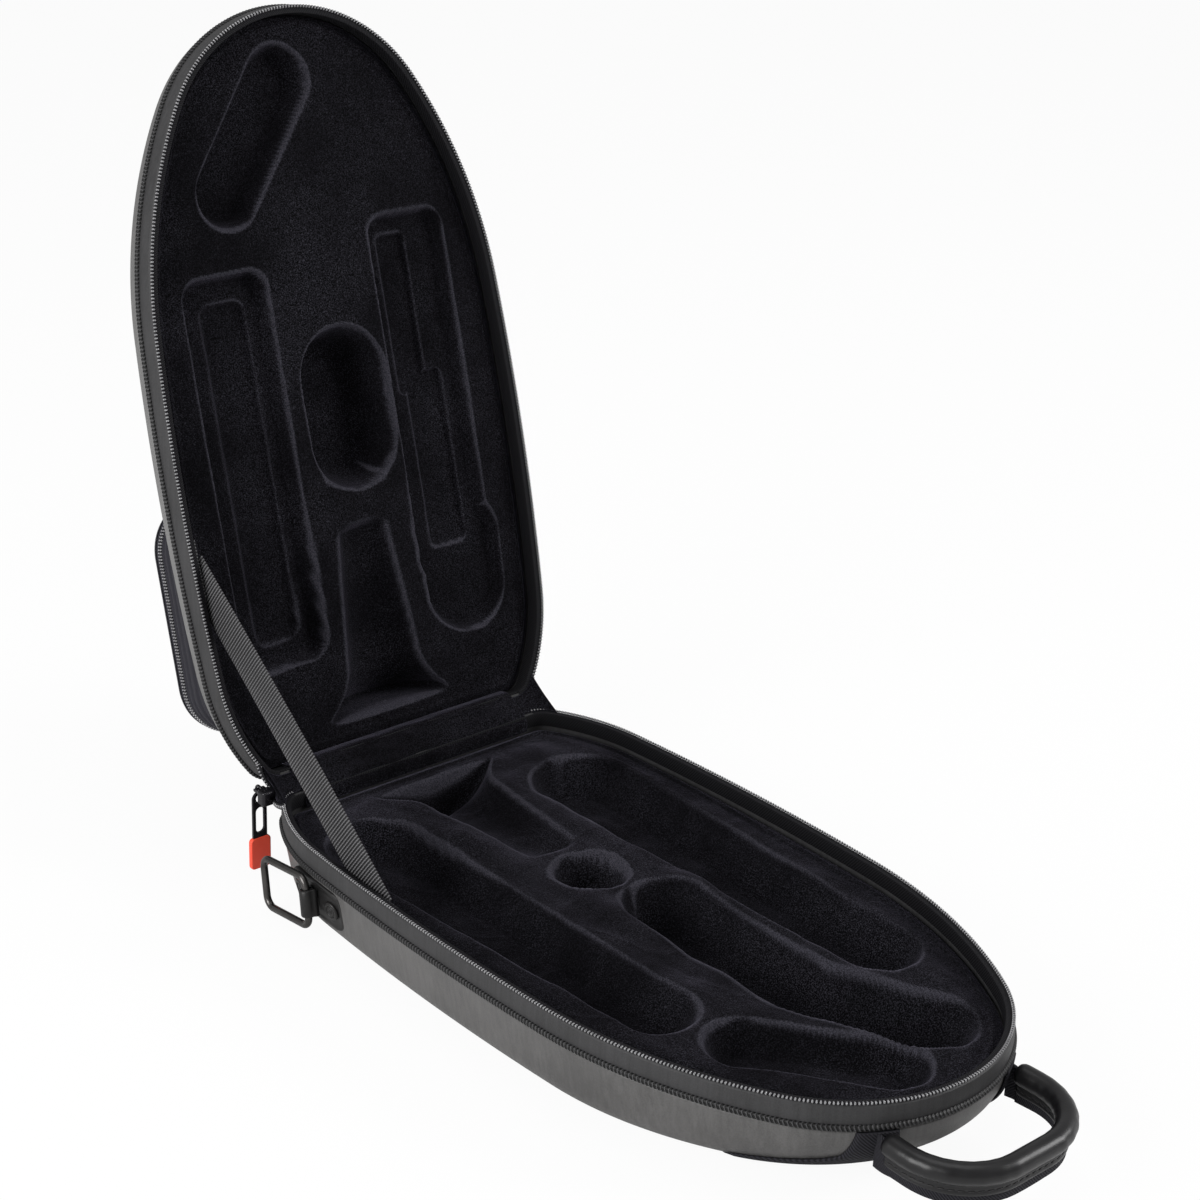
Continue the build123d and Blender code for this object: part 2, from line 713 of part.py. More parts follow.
# Plate and rivets are cut from blocks that reach this far either side of the rim's line.
plate_sink = 8.0
for name, hand in (("left", -1), ("right", 1)):
    out_dir = Vector(hand * sin(plate_heading), cos(plate_heading), 0)
    to_nose = Vector(hand * cos(plate_heading), -sin(plate_heading), 0)
    wall_point = Vector(corner_x * hand, corner_y, plate_z) + out_dir * corner_radius
    wall_plane = Plane(wall_point, x_dir=to_nose * -hand, z_dir=out_dir)

    # The leg of the ring leans by its droop, in a knuckle raised on the plate.
    leg_out = 2 * gap + plate_thickness + ring_wire_radius
    leg_plane = Plane(wall_point + out_dir * leg_out, x_dir=wall_plane.x_dir, z_dir=out_dir)
    leg_plane = Plane(leg_plane.location * Rot(0, 0, -hand * ring_droop))
    knuckle_radius = ring_wire_radius + ring_clearance + knuckle_wall
    with BuildPart() as ring_plate:
        with BuildSketch(wall_plane.offset(-plate_sink)):
            RectangleRounded(plate_length, plate_height, plate_corner)
        extrude(amount=2 * plate_sink)
        add(base_form(-gap - plate_thickness), mode=Mode.INTERSECT)
        with BuildSketch(Plane(leg_plane.origin, x_dir=leg_plane.x_dir, z_dir=leg_plane.y_dir)):
            Circle(knuckle_radius)
            with Locations((0, knuckle_radius)):
                Rectangle(2 * knuckle_radius, 2 * knuckle_radius)
        extrude(amount=ring_span / 2 - ring_corner - gap, both=True)
        add(base_form(-gap), mode=Mode.SUBTRACT)
        with BuildSketch(Plane(leg_plane.origin, x_dir=leg_plane.x_dir, z_dir=leg_plane.y_dir)):
            Circle(ring_wire_radius + ring_clearance)
        extrude(amount=plate_height, both=True, mode=Mode.SUBTRACT)
    ring_plate.part.label = f"{name}_ring_plate"
    export_step(ring_plate.part, f"parts/{name}_ring_plate.step")

    with BuildPart() as plate_rivets:
        with BuildSketch(wall_plane.offset(-plate_sink)):
            with Locations((rivet_set, 0), (-rivet_set, 0)):
                Circle(rivet_radius)
        extrude(amount=2 * plate_sink)
        add(base_form(-gap - plate_thickness - rivet_height), mode=Mode.INTERSECT)
        add(base_form(-gap - plate_thickness), mode=Mode.SUBTRACT)
    plate_rivets.part.label = f"{name}_plate_rivets"
    export_step(plate_rivets.part, f"parts/{name}_plate_rivets.step")

    with BuildSketch(leg_plane) as ring_frame:
        with Locations((hand * ring_reach / 2, 0)):
            RectangleRounded(ring_reach, ring_span, ring_corner)
    ring_path = ring_frame.sketch.face().outer_wire()
    with BuildPart() as strap_ring:
        with BuildSketch(Plane(ring_path @ 0, z_dir=ring_path % 0)):
            Circle(ring_wire_radius)
        sweep(path=ring_path)
    strap_ring.part.label = f"{name}_strap_ring"
    export_step(strap_ring.part, f"parts/{name}_strap_ring.step")


# ---- carrying handle at the nose -------------------------------------------------------------
# Two tabs come down from the band's seam, and the handle swings about its sewn ends.
anchor_low = rim_height - handle_drop - anchor_below_grip
anchor_height = rim_height - base_band_height - gap - anchor_low
for name, hand in (("left", -1), ("right", 1)):
    with BuildPart() as handle_tab:
        tab_out = gap + anchor_thickness
        with BuildSketch(Plane.XY.offset(anchor_low)):
            with Locations((hand * handle_half_width, -case_length / 2)):
                Rectangle(anchor_width, case_length / 3)
        extrude(amount=anchor_height)
        add(base_form(-tab_out), mode=Mode.INTERSECT)
        add(base_form(-gap), mode=Mode.SUBTRACT)
    handle_tab.part.label = f"{name}_handle_tab"
    export_step(handle_tab.part, f"parts/{name}_handle_tab.step")

inner_x = handle_half_width - grip_roll_radius
handle_start = nose_y_at(inner_x, gap + anchor_thickness) - gap
handle_front = -case_length / 2 - handle_reach
handle_points = (
    (-handle_half_width, handle_start),
    (-handle_half_width - handle_splay, handle_front),
    (handle_half_width + handle_splay, handle_front),
    (handle_half_width, handle_start),
)
web_low = rim_height - handle_drop - handle_web_height
apron_low = rim_height - handle_drop
roll_z = apron_low + grip_roll_radius + grip_apron
with BuildPart() as handle_web_strip:
    with BuildSketch(Plane.XY.offset(web_low)):
        with BuildLine():
            FilletPolyline(*handle_points, radius=handle_corner)
        trace(line_width=handle_web)
    extrude(amount=handle_web_height)
handle_web_strip.part.label = "handle_web"
export_step(handle_web_strip.part, "parts/handle_web.step")

with BuildPart() as handle_grip:
    with BuildLine(Plane.XY.offset(roll_z)):
        grip_path = FilletPolyline(*handle_points, radius=handle_corner)
    with BuildSketch(Plane(grip_path @ 0, x_dir=(1, 0, 0), z_dir=grip_path % 0)):
        Circle(grip_roll_radius)
        with Locations((0, -(grip_roll_radius + grip_apron) / 2)):
            Rectangle(grip_apron_width, grip_roll_radius + grip_apron)
    sweep(path=grip_path)
handle_grip.part.label = "handle_grip"
export_step(handle_grip.part, "parts/handle_grip.step")


# ---- zipped pocket on the lid ------------------------------------------------------------------
pocket_y = behind(pocket_set + pocket_length / 2)
cover_top = lid_depth + pocket_depth
cover_low = cover_top - pocket_cover_depth
outer_chain_low = cover_low - pocket_chain_height
inner_chain_top = outer_chain_low - gap
gusset_top = inner_chain_top - pocket_chain_height


def pocket_sketch(inset):
    # The pocket's rounded rectangle, moved in by inset.
    with BuildSketch() as face:
        with Locations((0, pocket_y)):
            RectangleRounded(
                2 * (pocket_half_width - inset), pocket_length - 2 * inset, pocket_corner - inset
            )
    return face.sketch


with BuildPart() as pocket_gusset:
    with BuildSketch(lid_plane.offset(lid_depth - lid_rounding)):
        add(pocket_sketch(0.0))
        add(pocket_sketch(pocket_wall), mode=Mode.SUBTRACT)
    extrude(amount=gusset_top - lid_depth + lid_rounding)
    with BuildSketch(lid_plane.offset((lid_depth + gusset_top) / 2)):
        add(pocket_sketch(-gap))
        add(pocket_sketch(0.75 * pocket_groove), mode=Mode.SUBTRACT)
    extrude(amount=pocket_groove, mode=Mode.SUBTRACT)
    add(lid_form(-gap), mode=Mode.SUBTRACT)
pocket_gusset.part.label = "pocket_gusset"
export_step(pocket_gusset.part, "parts/pocket_gusset.step")

with BuildPart() as pocket_cover:
    with BuildSketch(lid_plane.offset(cover_low)):
        add(pocket_sketch(0.0))
    extrude(amount=pocket_cover_depth)
    outer_face = pocket_cover.faces().sort_by(Axis(lid_plane.origin, lid_plane.z_dir))[-1]
    fillet(outer_face.edges(), pocket_rounding)
    with BuildSketch(lid_plane.offset(cover_low)):
        add(pocket_sketch(pocket_wall))
    extrude(amount=pocket_cover_depth - pocket_cover_skin, mode=Mode.SUBTRACT)
pocket_cover.part.label = "pocket_cover"
export_step(pocket_cover.part, "parts/pocket_cover.step")

# The chain leaves out the pocket's hinge side, at its lower edge.
chain_half = pocket_chain_width / 2
hinge_side = pocket_half_width - pocket_corner
chain_start = hinge_side + pocket_chain_start
for name, low in (("outer", outer_chain_low), ("inner", inner_chain_top - pocket_chain_height)):
    with BuildPart() as pocket_chain:
        with BuildSketch(lid_plane.offset(low)):
            add(pocket_sketch(-chain_half))
            add(pocket_sketch(chain_half), mode=Mode.SUBTRACT)
            with Locations((0, behind(pocket_set))):
                Rectangle(2 * chain_start, 4 * pocket_chain_width, mode=Mode.SUBTRACT)
        extrude(amount=pocket_chain_height)
    pocket_chain.part.label = f"pocket_{name}_chain"
    export_step(pocket_chain.part, f"parts/pocket_{name}_chain.step")

with BuildPart() as pocket_hinge_tape:
    with BuildSketch(lid_plane.offset(gusset_top - pocket_tape_reach)):
        with Locations((0, behind(pocket_set) + gap / 2 + tape_thickness / 2)):
            Rectangle(2 * (hinge_side - pocket_chain_width), tape_thickness)
    extrude(amount=cover_low - gusset_top + 2 * pocket_tape_reach - gap)
pocket_hinge_tape.part.label = "pocket_hinge_tape"
export_step(pocket_hinge_tape.part, "parts/pocket_hinge_tape.step")

# The pocket's slider waits at the right end of its chain, with its pull hanging.
pocket_slider_x = pocket_half_width + chain_half + gap
pocket_slider_y = behind(pocket_set + pocket_corner + pocket_slider_set)
pocket_slider_low = (gusset_top + cover_low - pocket_slider_height) / 2
slider_back = pocket_slider_x + pocket_slider_thickness
post_x = slider_back + pocket_post_radius + pocket_pull_wall + gap
arm_height = (pocket_slider_height - pocket_pull_width) / 2 - gap
with BuildPart() as pocket_slider:
    with BuildSketch(lid_plane.offset(pocket_slider_low)):
        with Locations((pocket_slider_x + pocket_slider_thickness / 2, pocket_slider_y)):
            RectangleRounded(pocket_slider_thickness, pocket_slider_length, pocket_slider_corner)
        with Locations((post_x, pocket_slider_y)):
            Circle(pocket_post_radius)
    extrude(amount=pocket_slider_height)
    # An arm at each end of the post holds it to the slider.
    for low in (pocket_slider_low, pocket_slider_low + pocket_slider_height - arm_height):
        with BuildSketch(lid_plane.offset(low)):
            with Locations(((pocket_slider_x + post_x) / 2, pocket_slider_y)):
                Rectangle(post_x - pocket_slider_x, 2 * pocket_post_radius)
            with Locations((post_x, pocket_slider_y)):
                Circle(pocket_post_radius)
        extrude(amount=arm_height)
pocket_slider.part.label = "pocket_slider"
export_step(pocket_slider.part, "parts/pocket_slider.step")

with BuildPart() as pocket_pull:
    with BuildSketch(lid_plane.offset(pocket_slider_low + arm_height + gap)):
        with Locations((post_x, pocket_slider_y)):
            Circle(pocket_post_radius + pocket_pull_wall)
        with Locations((post_x, pocket_slider_y + pocket_pull_length / 2)):
            Rectangle(pocket_pull_thickness, pocket_pull_length)
        with Locations((post_x, pocket_slider_y)):
            Circle(pocket_post_radius + ring_clearance, mode=Mode.SUBTRACT)
    extrude(amount=pocket_pull_width)
pocket_pull.part.label = "pocket_pull"
export_step(pocket_pull.part, "parts/pocket_pull.step")
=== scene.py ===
import json
from math import acos, atan2, cos, hypot, pi, radians, sin, sqrt, tan

import bpy
import numpy as np
from mathutils import Matrix, Vector


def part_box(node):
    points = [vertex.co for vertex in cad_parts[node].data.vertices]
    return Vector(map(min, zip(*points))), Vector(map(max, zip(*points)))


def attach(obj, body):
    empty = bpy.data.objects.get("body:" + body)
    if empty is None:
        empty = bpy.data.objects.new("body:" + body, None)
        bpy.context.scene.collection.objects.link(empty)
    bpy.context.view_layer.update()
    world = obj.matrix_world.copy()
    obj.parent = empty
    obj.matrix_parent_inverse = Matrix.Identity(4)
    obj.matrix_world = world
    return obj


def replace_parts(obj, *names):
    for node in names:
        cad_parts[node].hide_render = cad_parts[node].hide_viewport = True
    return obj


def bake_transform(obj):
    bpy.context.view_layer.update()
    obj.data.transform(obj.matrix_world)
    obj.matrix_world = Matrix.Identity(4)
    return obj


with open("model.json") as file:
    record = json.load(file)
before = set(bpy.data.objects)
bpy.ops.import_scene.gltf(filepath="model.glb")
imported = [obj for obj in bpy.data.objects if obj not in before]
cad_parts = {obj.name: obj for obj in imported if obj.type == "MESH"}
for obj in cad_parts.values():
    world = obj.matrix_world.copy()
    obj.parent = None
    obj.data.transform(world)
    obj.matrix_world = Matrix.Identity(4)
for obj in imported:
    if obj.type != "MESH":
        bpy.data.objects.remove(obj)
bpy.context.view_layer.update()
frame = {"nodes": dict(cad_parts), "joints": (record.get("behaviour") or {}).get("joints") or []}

# Clarinet case with its lid held open.  Metres, +Z up, +Y the hinge end, -Y the nose.
print("frame loaded")

# Places taken from the frame.
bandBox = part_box("base_rim_band")
hingeEdge = bandBox[1].y
noseY = bandBox[0].y
halfWidth = bandBox[1].x
seatGap = 0.0003  # between soft pieces
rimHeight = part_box("base_zip_chain")[1].z + seatGap / 2
lidJoint = next(joint for joint in frame["joints"] if joint["name"] == "lid_hinge")
hingePoint = np.array(lidJoint["pos_m"])
openAngle = radians(lidJoint["range_deg"][1])

# Rim outline seen from above: headings turn clockwise from +Y.
planShape = dict(
    startHeading=radians(52.4), cornerTurn=radians(33.7), sideTurn=radians(7.2),
    shoulderTurn=radians(27.8), cornerRadius=0.113, sideRadius=1.490,
    cornerFillet=0.015, leastFillet=0.003,  # round the ends of the straight hinge edge
    edgeCount=60, filletCount=12, cornerCount=50, sideCount=120, shoulderCount=50, noseCount=60,
)
shellWall = 0.0035
rakePower = 2.6  # how late the nose starts to run in
baseForm = dict(band=0.015, depth=rimHeight, draft=0.007, rake=0.044, rounding=0.013, bulge=0.003)
lidForm = dict(band=0.016, depth=0.048, draft=0.012, rake=0.026, rounding=0.015, bulge=0.0015)

heading0 = planShape["startHeading"]
heading1 = heading0 + planShape["cornerTurn"]
heading2 = heading1 + planShape["sideTurn"]
heading3 = heading2 + planShape["shoulderTurn"]
cornerRadius, sideRadius = planShape["cornerRadius"], planShape["sideRadius"]
halfEdge = (halfWidth - cornerRadius * (sin(heading1) - sin(heading0))
            - sideRadius * (1 - sin(heading1)))
cornerX = halfEdge - cornerRadius * sin(heading0)
cornerY = hingeEdge - cornerRadius * cos(heading0)
sideX = cornerX - (sideRadius - cornerRadius) * sin(heading1)
sideY = cornerY - (sideRadius - cornerRadius) * cos(heading1)


def arcPoints(centerX, centerY, radius, first, last, count):
    # A heading h on an arc stands at centre + radius * (sin h, cos h).
    heading = np.linspace(first, last, count, endpoint=False)
    return np.stack([centerX + radius * np.sin(heading), centerY + radius * np.cos(heading)], 1)


def planOutline(inset=0.0, back=None, nose=None):
    # Half of the outline is a straight edge, a fillet and four tangent arcs.  The other
    # half is its mirror image.  The order is hinge middle, +X side, nose, -X side.
    shape = planShape
    backY = hingeEdge - (inset if back is None else back)
    noseEnd = noseY + (inset if nose is None else nose)
    fillet = max(shape["cornerFillet"] - inset, shape["leastFillet"])
    corner, side = cornerRadius - inset, sideRadius - inset
    filletY = backY - fillet
    filletX = cornerX + sqrt((corner - fillet) ** 2 - (filletY - cornerY) ** 2)
    first = atan2(filletX - cornerX, filletY - cornerY)
    endX, endY = sideX + side * sin(heading2), sideY + side * cos(heading2)
    sines, cosines = sin(heading3) - sin(heading2), cos(heading3) - cos(heading2)
    share = (1 + cos(heading3)) / sin(heading3)
    shoulder = (endY - noseEnd - endX * share) / (sines * share - cosines)
    noseRadius = (endX + shoulder * sines) / sin(heading3)
    edge = np.stack([np.linspace(0, filletX, shape["edgeCount"], endpoint=False),
                     np.full(shape["edgeCount"], backY)], 1)
    half = np.concatenate([
        edge,
        arcPoints(filletX, filletY, fillet, 0, first, shape["filletCount"]),
        arcPoints(cornerX, cornerY, corner, first, heading1, shape["cornerCount"]),
        arcPoints(sideX, sideY, side, heading1, heading2, shape["sideCount"]),
        arcPoints(endX - shoulder * sin(heading2), endY - shoulder * cos(heading2), shoulder,
                  heading2, heading3, shape["shoulderCount"]),
        arcPoints(0, noseEnd + noseRadius, noseRadius, heading3, pi, shape["noseCount"]),
        [[0, noseEnd]],
    ])
    mirrored = half[-2:0:-1] * [-1, 1]
    return np.concatenate([half, mirrored])


def onBase(x, y, height):
    # Heights are measured down from the base's rim.
    return np.stack(np.broadcast_arrays(x, y, rimHeight - height), -1)


def onLid(x, y, height):
    # A place over the closed rim, turned about the hinge line by the open angle.
    deltaY = y - hingePoint[1]
    deltaZ = rimHeight + height - hingePoint[2]
    c, s = cos(openAngle), sin(openAngle)
    return np.stack(np.broadcast_arrays(
        x, hingePoint[1] + deltaY * c + deltaZ * s, hingePoint[2] - deltaY * s + deltaZ * c), -1)


places = {"base": onBase, "lid": onLid}
forms = {"base": baseForm, "lid": lidForm}


def shellOutline(form, height, wall):
    # Sides lean in evenly, the nose runs in faster and faster, the outer edge is rounded
    # like a quarter ellipse and the hinge end swells out a little.
    fall = max(0.0, (height - form["band"]) / (form["depth"] - form["band"]))
    into = max(0.0, height - form["depth"] + form["rounding"]) / form["rounding"]
    turned = wall + form["rounding"] * (1 - sqrt(max(0.0, 1 - into * into)))
    back = turned - form["bulge"] * sin(pi / 2 * fall)
    nose = turned + form["rake"] * fall ** rakePower
    return planOutline(turned + form["draft"] * fall, back, nose)


def unit(vectors):
    # Each vector divided by its own length.
    return vectors / np.linalg.norm(vectors, axis=-1, keepdims=True)


def asPoint(place):
    # A place as three plain floats.
    return tuple(map(float, place))


def pathLength(points, closed=False):
    # Distance walked from the first point to each of the others: a running sum of steps.
    steps = np.linalg.norm(np.diff(points, axis=0), axis=1)
    walked = np.concatenate([[0], np.cumsum(steps)])
    if closed:
        walked = np.append(walked, walked[-1] + np.linalg.norm(points[0] - points[-1]))
    return walked


def makePiece(name, vertices, faces, finish, body, uv=None):
    # Signed volume is the sum of corner triple products: faces turn over if it is negative.
    mesh = bpy.data.meshes.new(name)
    mesh.from_pydata(vertices.tolist(), [], faces)
    mesh.update()
    if uv is not None:
        mesh.uv_layers.new(name="cloth").data.foreach_set("uv", np.asarray(uv, "f").ravel())
    mesh.calc_loop_triangles()
    corners = np.zeros(len(mesh.loop_triangles) * 3, "i")
    mesh.loop_triangles.foreach_get("vertices", corners)
    a, b, c = (vertices[corners[k::3]] for k in range(3))
    if np.einsum("ij,ij->i", a, np.cross(b, c)).sum() < 0:
        mesh.flip_normals()
    mesh.polygons.foreach_set("use_smooth", np.ones(len(mesh.polygons), bool))
    mesh.materials.append(finish)
    piece = bpy.data.objects.new(name, mesh)
    bpy.context.scene.collection.objects.link(piece)
    if body:
        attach(piece, body)
    return piece


def sweptParts(grid, closedPath):
    # Quads of a tube: rings[i] is joined to rings[i + 1], and open ends get a flat cap.
    count, sides = grid.shape[:2]
    ring = np.arange(count if closedPath else count - 1)[:, None]
    spot = np.arange(sides)[None, :]
    ahead, beside = (ring + 1) % count, (spot + 1) % sides
    quads = np.stack([ring * sides + spot, ring * sides + beside,
                      ahead * sides + beside, ahead * sides + spot], -1).reshape(-1, 4)
    along = pathLength(grid.mean(1), closedPath)
    around = pathLength(grid[0], True)
    u0, u1 = along[ring] + 0 * spot, along[ring + 1] + 0 * spot
    v0, v1 = around[spot] + 0 * ring, around[spot + 1] + 0 * ring
    uv = np.stack([np.stack([u0, v0], -1), np.stack([u0, v1], -1),
                   np.stack([u1, v1], -1), np.stack([u1, v0], -1)], 2).reshape(-1, 2)
    faces = quads.tolist()
    if not closedPath:
        faces += [list(range(sides))[::-1], list(range((count - 1) * sides, count * sides))]
        uv = np.concatenate([uv, np.tile([0.0, 0.0], (sides, 1)),
                             np.tile([along[-1], 0.0], (sides, 1))])
    return grid.reshape(-1, 3), faces, uv


def makeSwept(name, grid, closedPath, finish, body):
    # One tube: the grid's rows are its rings.
    vertices, faces, uv = sweptParts(grid, closedPath)
    return makePiece(name, vertices, faces, finish, body, uv)


def makeMany(name, grids, closedPath, finish, body):
    # Several tubes of the same or different shape in one mesh.
    allVertices, allFaces, allUv, offset = [], [], [], 0
    for grid in grids:
        vertices, faces, uv = sweptParts(grid, closedPath)
        allVertices.append(vertices)
        allFaces += [[corner + offset for corner in face] for face in faces]
        allUv.append(uv)
        offset += len(vertices)
    return makePiece(name, np.concatenate(allVertices), allFaces, finish, body,
                     np.concatenate(allUv))


def cornerArc(before, here, after, radius, steps):
    # The arc that touches both sides of a corner.
    before, after = unit(np.asarray(before) - here), unit(np.asarray(after) - here)
    half = acos(np.clip(before @ after, -1, 1)) / 2
    center = here + unit(before + after) * radius / sin(half)
    start, end = (here + side * radius / tan(half) - center for side in (before, after))
    turn = atan2(start[0] * end[1] - start[1] * end[0], start @ end)
    angle = np.linspace(0, turn, steps)[:, None]
    return center + start * np.cos(angle) + np.array([-start[1], start[0]]) * np.sin(angle)


def roundedLoop(corners, radii, steps=4):
    # A closed polygon with every corner rounded.
    corners = np.asarray(corners, float)
    radii = np.broadcast_to(radii, len(corners))
    return np.concatenate([
        cornerArc(corners[k - 1], corners[k], corners[(k + 1) % len(corners)], radii[k], steps)
        for k in range(len(corners))])


def roundedPath(corners, radius, steps=4):
    # An open line with its inner corners rounded.
    corners = np.asarray(corners, float)
    arcs = [cornerArc(corners[k - 1], corners[k], corners[k + 1], radius, steps)
            for k in range(1, len(corners) - 1)]
    return np.concatenate([corners[:1], *arcs, corners[-1:]])


def rimLoopGrid(where, profile, first=None, last=None):
    # The profile's points are (inset, height); each is carried along its own outline.
    rings = [places[where](*planOutline(inset).T, height) for inset, height in profile]
    return np.stack(rings, 1)[first:last]


def pathAhead(path):
    # The direction of an open path at each of its points.
    return unit(np.gradient(path, axis=0))


def frames(path, up):
    # Across and upright directions at each point of a path.
    along = pathAhead(path)
    across = unit(np.cross(along, up))
    return across, np.cross(across, along)


def resample(path, spacing, closed=False):
    # Even steps along a path.
    if closed:
        path = np.concatenate([path, path[:1]])
    walked = pathLength(path)
    count = max(2, int(round(walked[-1] / spacing)) + 1)
    wanted = np.linspace(0, walked[-1], count)
    even = np.stack([np.interp(wanted, walked, path[:, k]) for k in range(path.shape[1])], 1)
    return even[:-1] if closed else even


def softened(path, times):
    # Each inner point moves to the mean of itself and its neighbours, again and again.
    for _ in range(times):
        path[1:-1] = (path[:-2] + path[1:-1] * 2 + path[2:]) / 4
    return path


# Stations along a rod as shares of half its length, and its thickness there.
rodShape = dict(share=(-1.0, -0.82, 0.0, 0.82, 1.0), swell=(0.35, 0.9, 1.0, 0.9, 0.35), sides=6)


def stitchGrids(middles, ahead, side, long, thick, tall=1.0):
    # Short rods with tapered ends: each lies along ahead, and side points out of the cloth.
    share, swell = np.array(rodShape["share"]), np.array(rodShape["swell"])
    turn = np.linspace(0, 2 * pi, rodShape["sides"], endpoint=False)
    across = np.cross(ahead, side)
    ring = (across[:, None, None] * np.cos(turn)[None, None, :, None]
            + side[:, None, None] * (tall * np.sin(turn))[None, None, :, None])
    spine = middles[:, None] + ahead[:, None] * (share * long / 2)[None, :, None]
    return spine[:, :, None] + ring * (swell * thick / 2)[None, :, None, None]


def teethGrids(where, line, height, long, thick, tall):
    # One rod across the zip for each point of a line in the plan.
    ahead = pathAhead(line)
    middles = where(line[:, 0], line[:, 1], height)
    inwards = where(line[:, 0] - ahead[:, 1], line[:, 1] + ahead[:, 0], height) - middles
    upwards = where(line[:, 0], line[:, 1], height + 1.0) - middles
    return list(stitchGrids(middles, inwards, upwards, long, thick, tall))


# The zip leaves the straight hinge edge out: places in the outline where it starts and ends.
zipFirst = planShape["edgeCount"] + 2
zipLast = len(planOutline()) - planShape["edgeCount"] - 1


class Wire:
    # A node's output, so that an expression on wires adds its Math nodes.
    def __init__(self, tree, socket):
        self.tree, self.socket = tree, socket

    def put(self, operation, *values, clamp=False):
        settings = {"operation": operation, "use_clamp": clamp}
        return addNode(self.tree, "ShaderNodeMath", settings, dict(enumerate(values)))

    def __add__(self, other):
        return self.put("ADD", self, other)

    def __sub__(self, other):
        return self.put("SUBTRACT", self, other)

    def __rsub__(self, other):
        return self.put("SUBTRACT", other, self)

    def __mul__(self, other):
        return self.put("MULTIPLY", self, other)

    __radd__ = __add__
    __rmul__ = __mul__

    def sine(self):
        return self.put("SINE", self)

    def most(self, other):
        return self.put("MAXIMUM", self, other)

    def within(self, low, high):
        # 0 at low and 1 at high, with straight sides and flat ends.
        return self.put("MULTIPLY", self - low, 1 / (high - low), clamp=True)


def addNode(tree, kind, settings=None, sockets=None, output=0):
    # Settings come first, then the sockets' values or wires.
    node = tree.nodes.new(kind)
    for key, value in (settings or {}).items():
        setattr(node, key, value)
    for key, value in (sockets or {}).items():
        if isinstance(value, Wire):
            tree.links.new(value.socket, node.inputs[key])
        else:
            node.inputs[key].default_value = value
    return Wire(tree, node.outputs[output]) if len(node.outputs) else node


class Finish:
    # One material: a Principled shader whose constants are on its own sockets.
    def __init__(self, name, **constants):
        self.material = bpy.data.materials.new(name)
        self.material.use_nodes = True
        self.tree = self.material.node_tree
        self.tree.nodes.clear()
        sockets = {key.replace("_", " "): value for key, value in constants.items()}
        self.shader = self.add("ShaderNodeBsdfPrincipled", {}, sockets)
        self.output = self.add("ShaderNodeOutputMaterial", {}, {"Surface": self.shader})

    def add(self, kind, settings=None, sockets=None, output=0):
        return addNode(self.tree, kind, settings, sockets, output)

    def feed(self, key, wire):
        self.tree.links.new(wire.socket, self.shader.socket.node.inputs[key])

    def place(self, stretch=(1, 1, 1)):
        # Object coordinates, stretched along each axis.
        spot = self.add("ShaderNodeTexCoord", output=3)
        return self.add("ShaderNodeMapping", {}, {"Vector": spot, "Scale": stretch})

    def cloth(self):
        # Metres along and across a piece, from its own map.
        spot = self.add("ShaderNodeUVMap", {"uv_map": "cloth"})
        return [self.add("ShaderNodeSeparateXYZ", {}, {"Vector": spot}, k) for k in range(2)]

    def noise(self, scale, detail=3.0, roughness=0.55, where=None):
        # Soft random clouds, scale of them to the metre.
        return self.add("ShaderNodeTexNoise", {}, {
            "Vector": where or self.place(), "Scale": scale, "Detail": detail,
            "Roughness": roughness})

    def edges(self, scale):
        # Distance to the nearest border between scattered cells.
        return self.add("ShaderNodeTexVoronoi", {"feature": "DISTANCE_TO_EDGE"}, {
            "Vector": self.place(), "Scale": scale})

    def colour(self, share, dark, light):
        # The surface's colour between a dark and a light one.
        self.feed("Base Color", self.add(
            "ShaderNodeMix", {"data_type": "RGBA"}, {0: share, 6: dark, 7: light}, 2))

    def bump(self, height, depth, before=None):
        # Depth in metres is how far a height of 1 stands up.
        sockets = {"Height": height, "Distance": depth}
        if before:
            sockets["Normal"] = before
        return self.add("ShaderNodeBump", {}, sockets)


def grey(value, tint):
    # A grey times a tint near white.
    return (value * tint[0], value * tint[1], value * tint[2], 1.0)


def lighter(colour, times, more=0.0):
    # Each channel times a factor plus a little, at most 1.
    return tuple(min(1.0, channel * times + more) for channel in colour) + (1.0,)


neutral, warm, violet = (1.0, 0.985, 1.03), (1.03, 1.0, 0.985), (0.98, 0.95, 1.2)


def leatherette(name, low, high, tint, rough, brushed, coat=0.0):
    # Fine pebble grain over slow mottling; brushed cloth gets upright hairlines too.
    finish = Finish(name, Roughness=rough, Specular_IOR_Level=0.4, Coat_Weight=coat,
                    Coat_Roughness=0.3)
    mottle = finish.noise(26.0, 2.0)
    speck = finish.noise(1300.0, 2.0)
    hair = finish.noise(420.0, 2.0, where=finish.place(brushed))
    tone = mottle * 0.35 + speck * 0.35 + hair * 0.3
    finish.colour(tone.within(0.38, 0.62), grey(low, tint), grey(high, tint))
    finish.feed("Roughness", rough + (mottle - 0.5) * 0.22 + (speck - 0.5) * 0.12)
    pebbles = finish.edges(1150.0).within(0.0, 0.35)
    grain = finish.bump(pebbles, 0.00004)
    grain = finish.bump(hair, 0.00005, grain)
    finish.feed("Normal", finish.bump(mottle, 0.0007, grain))
    return finish.material


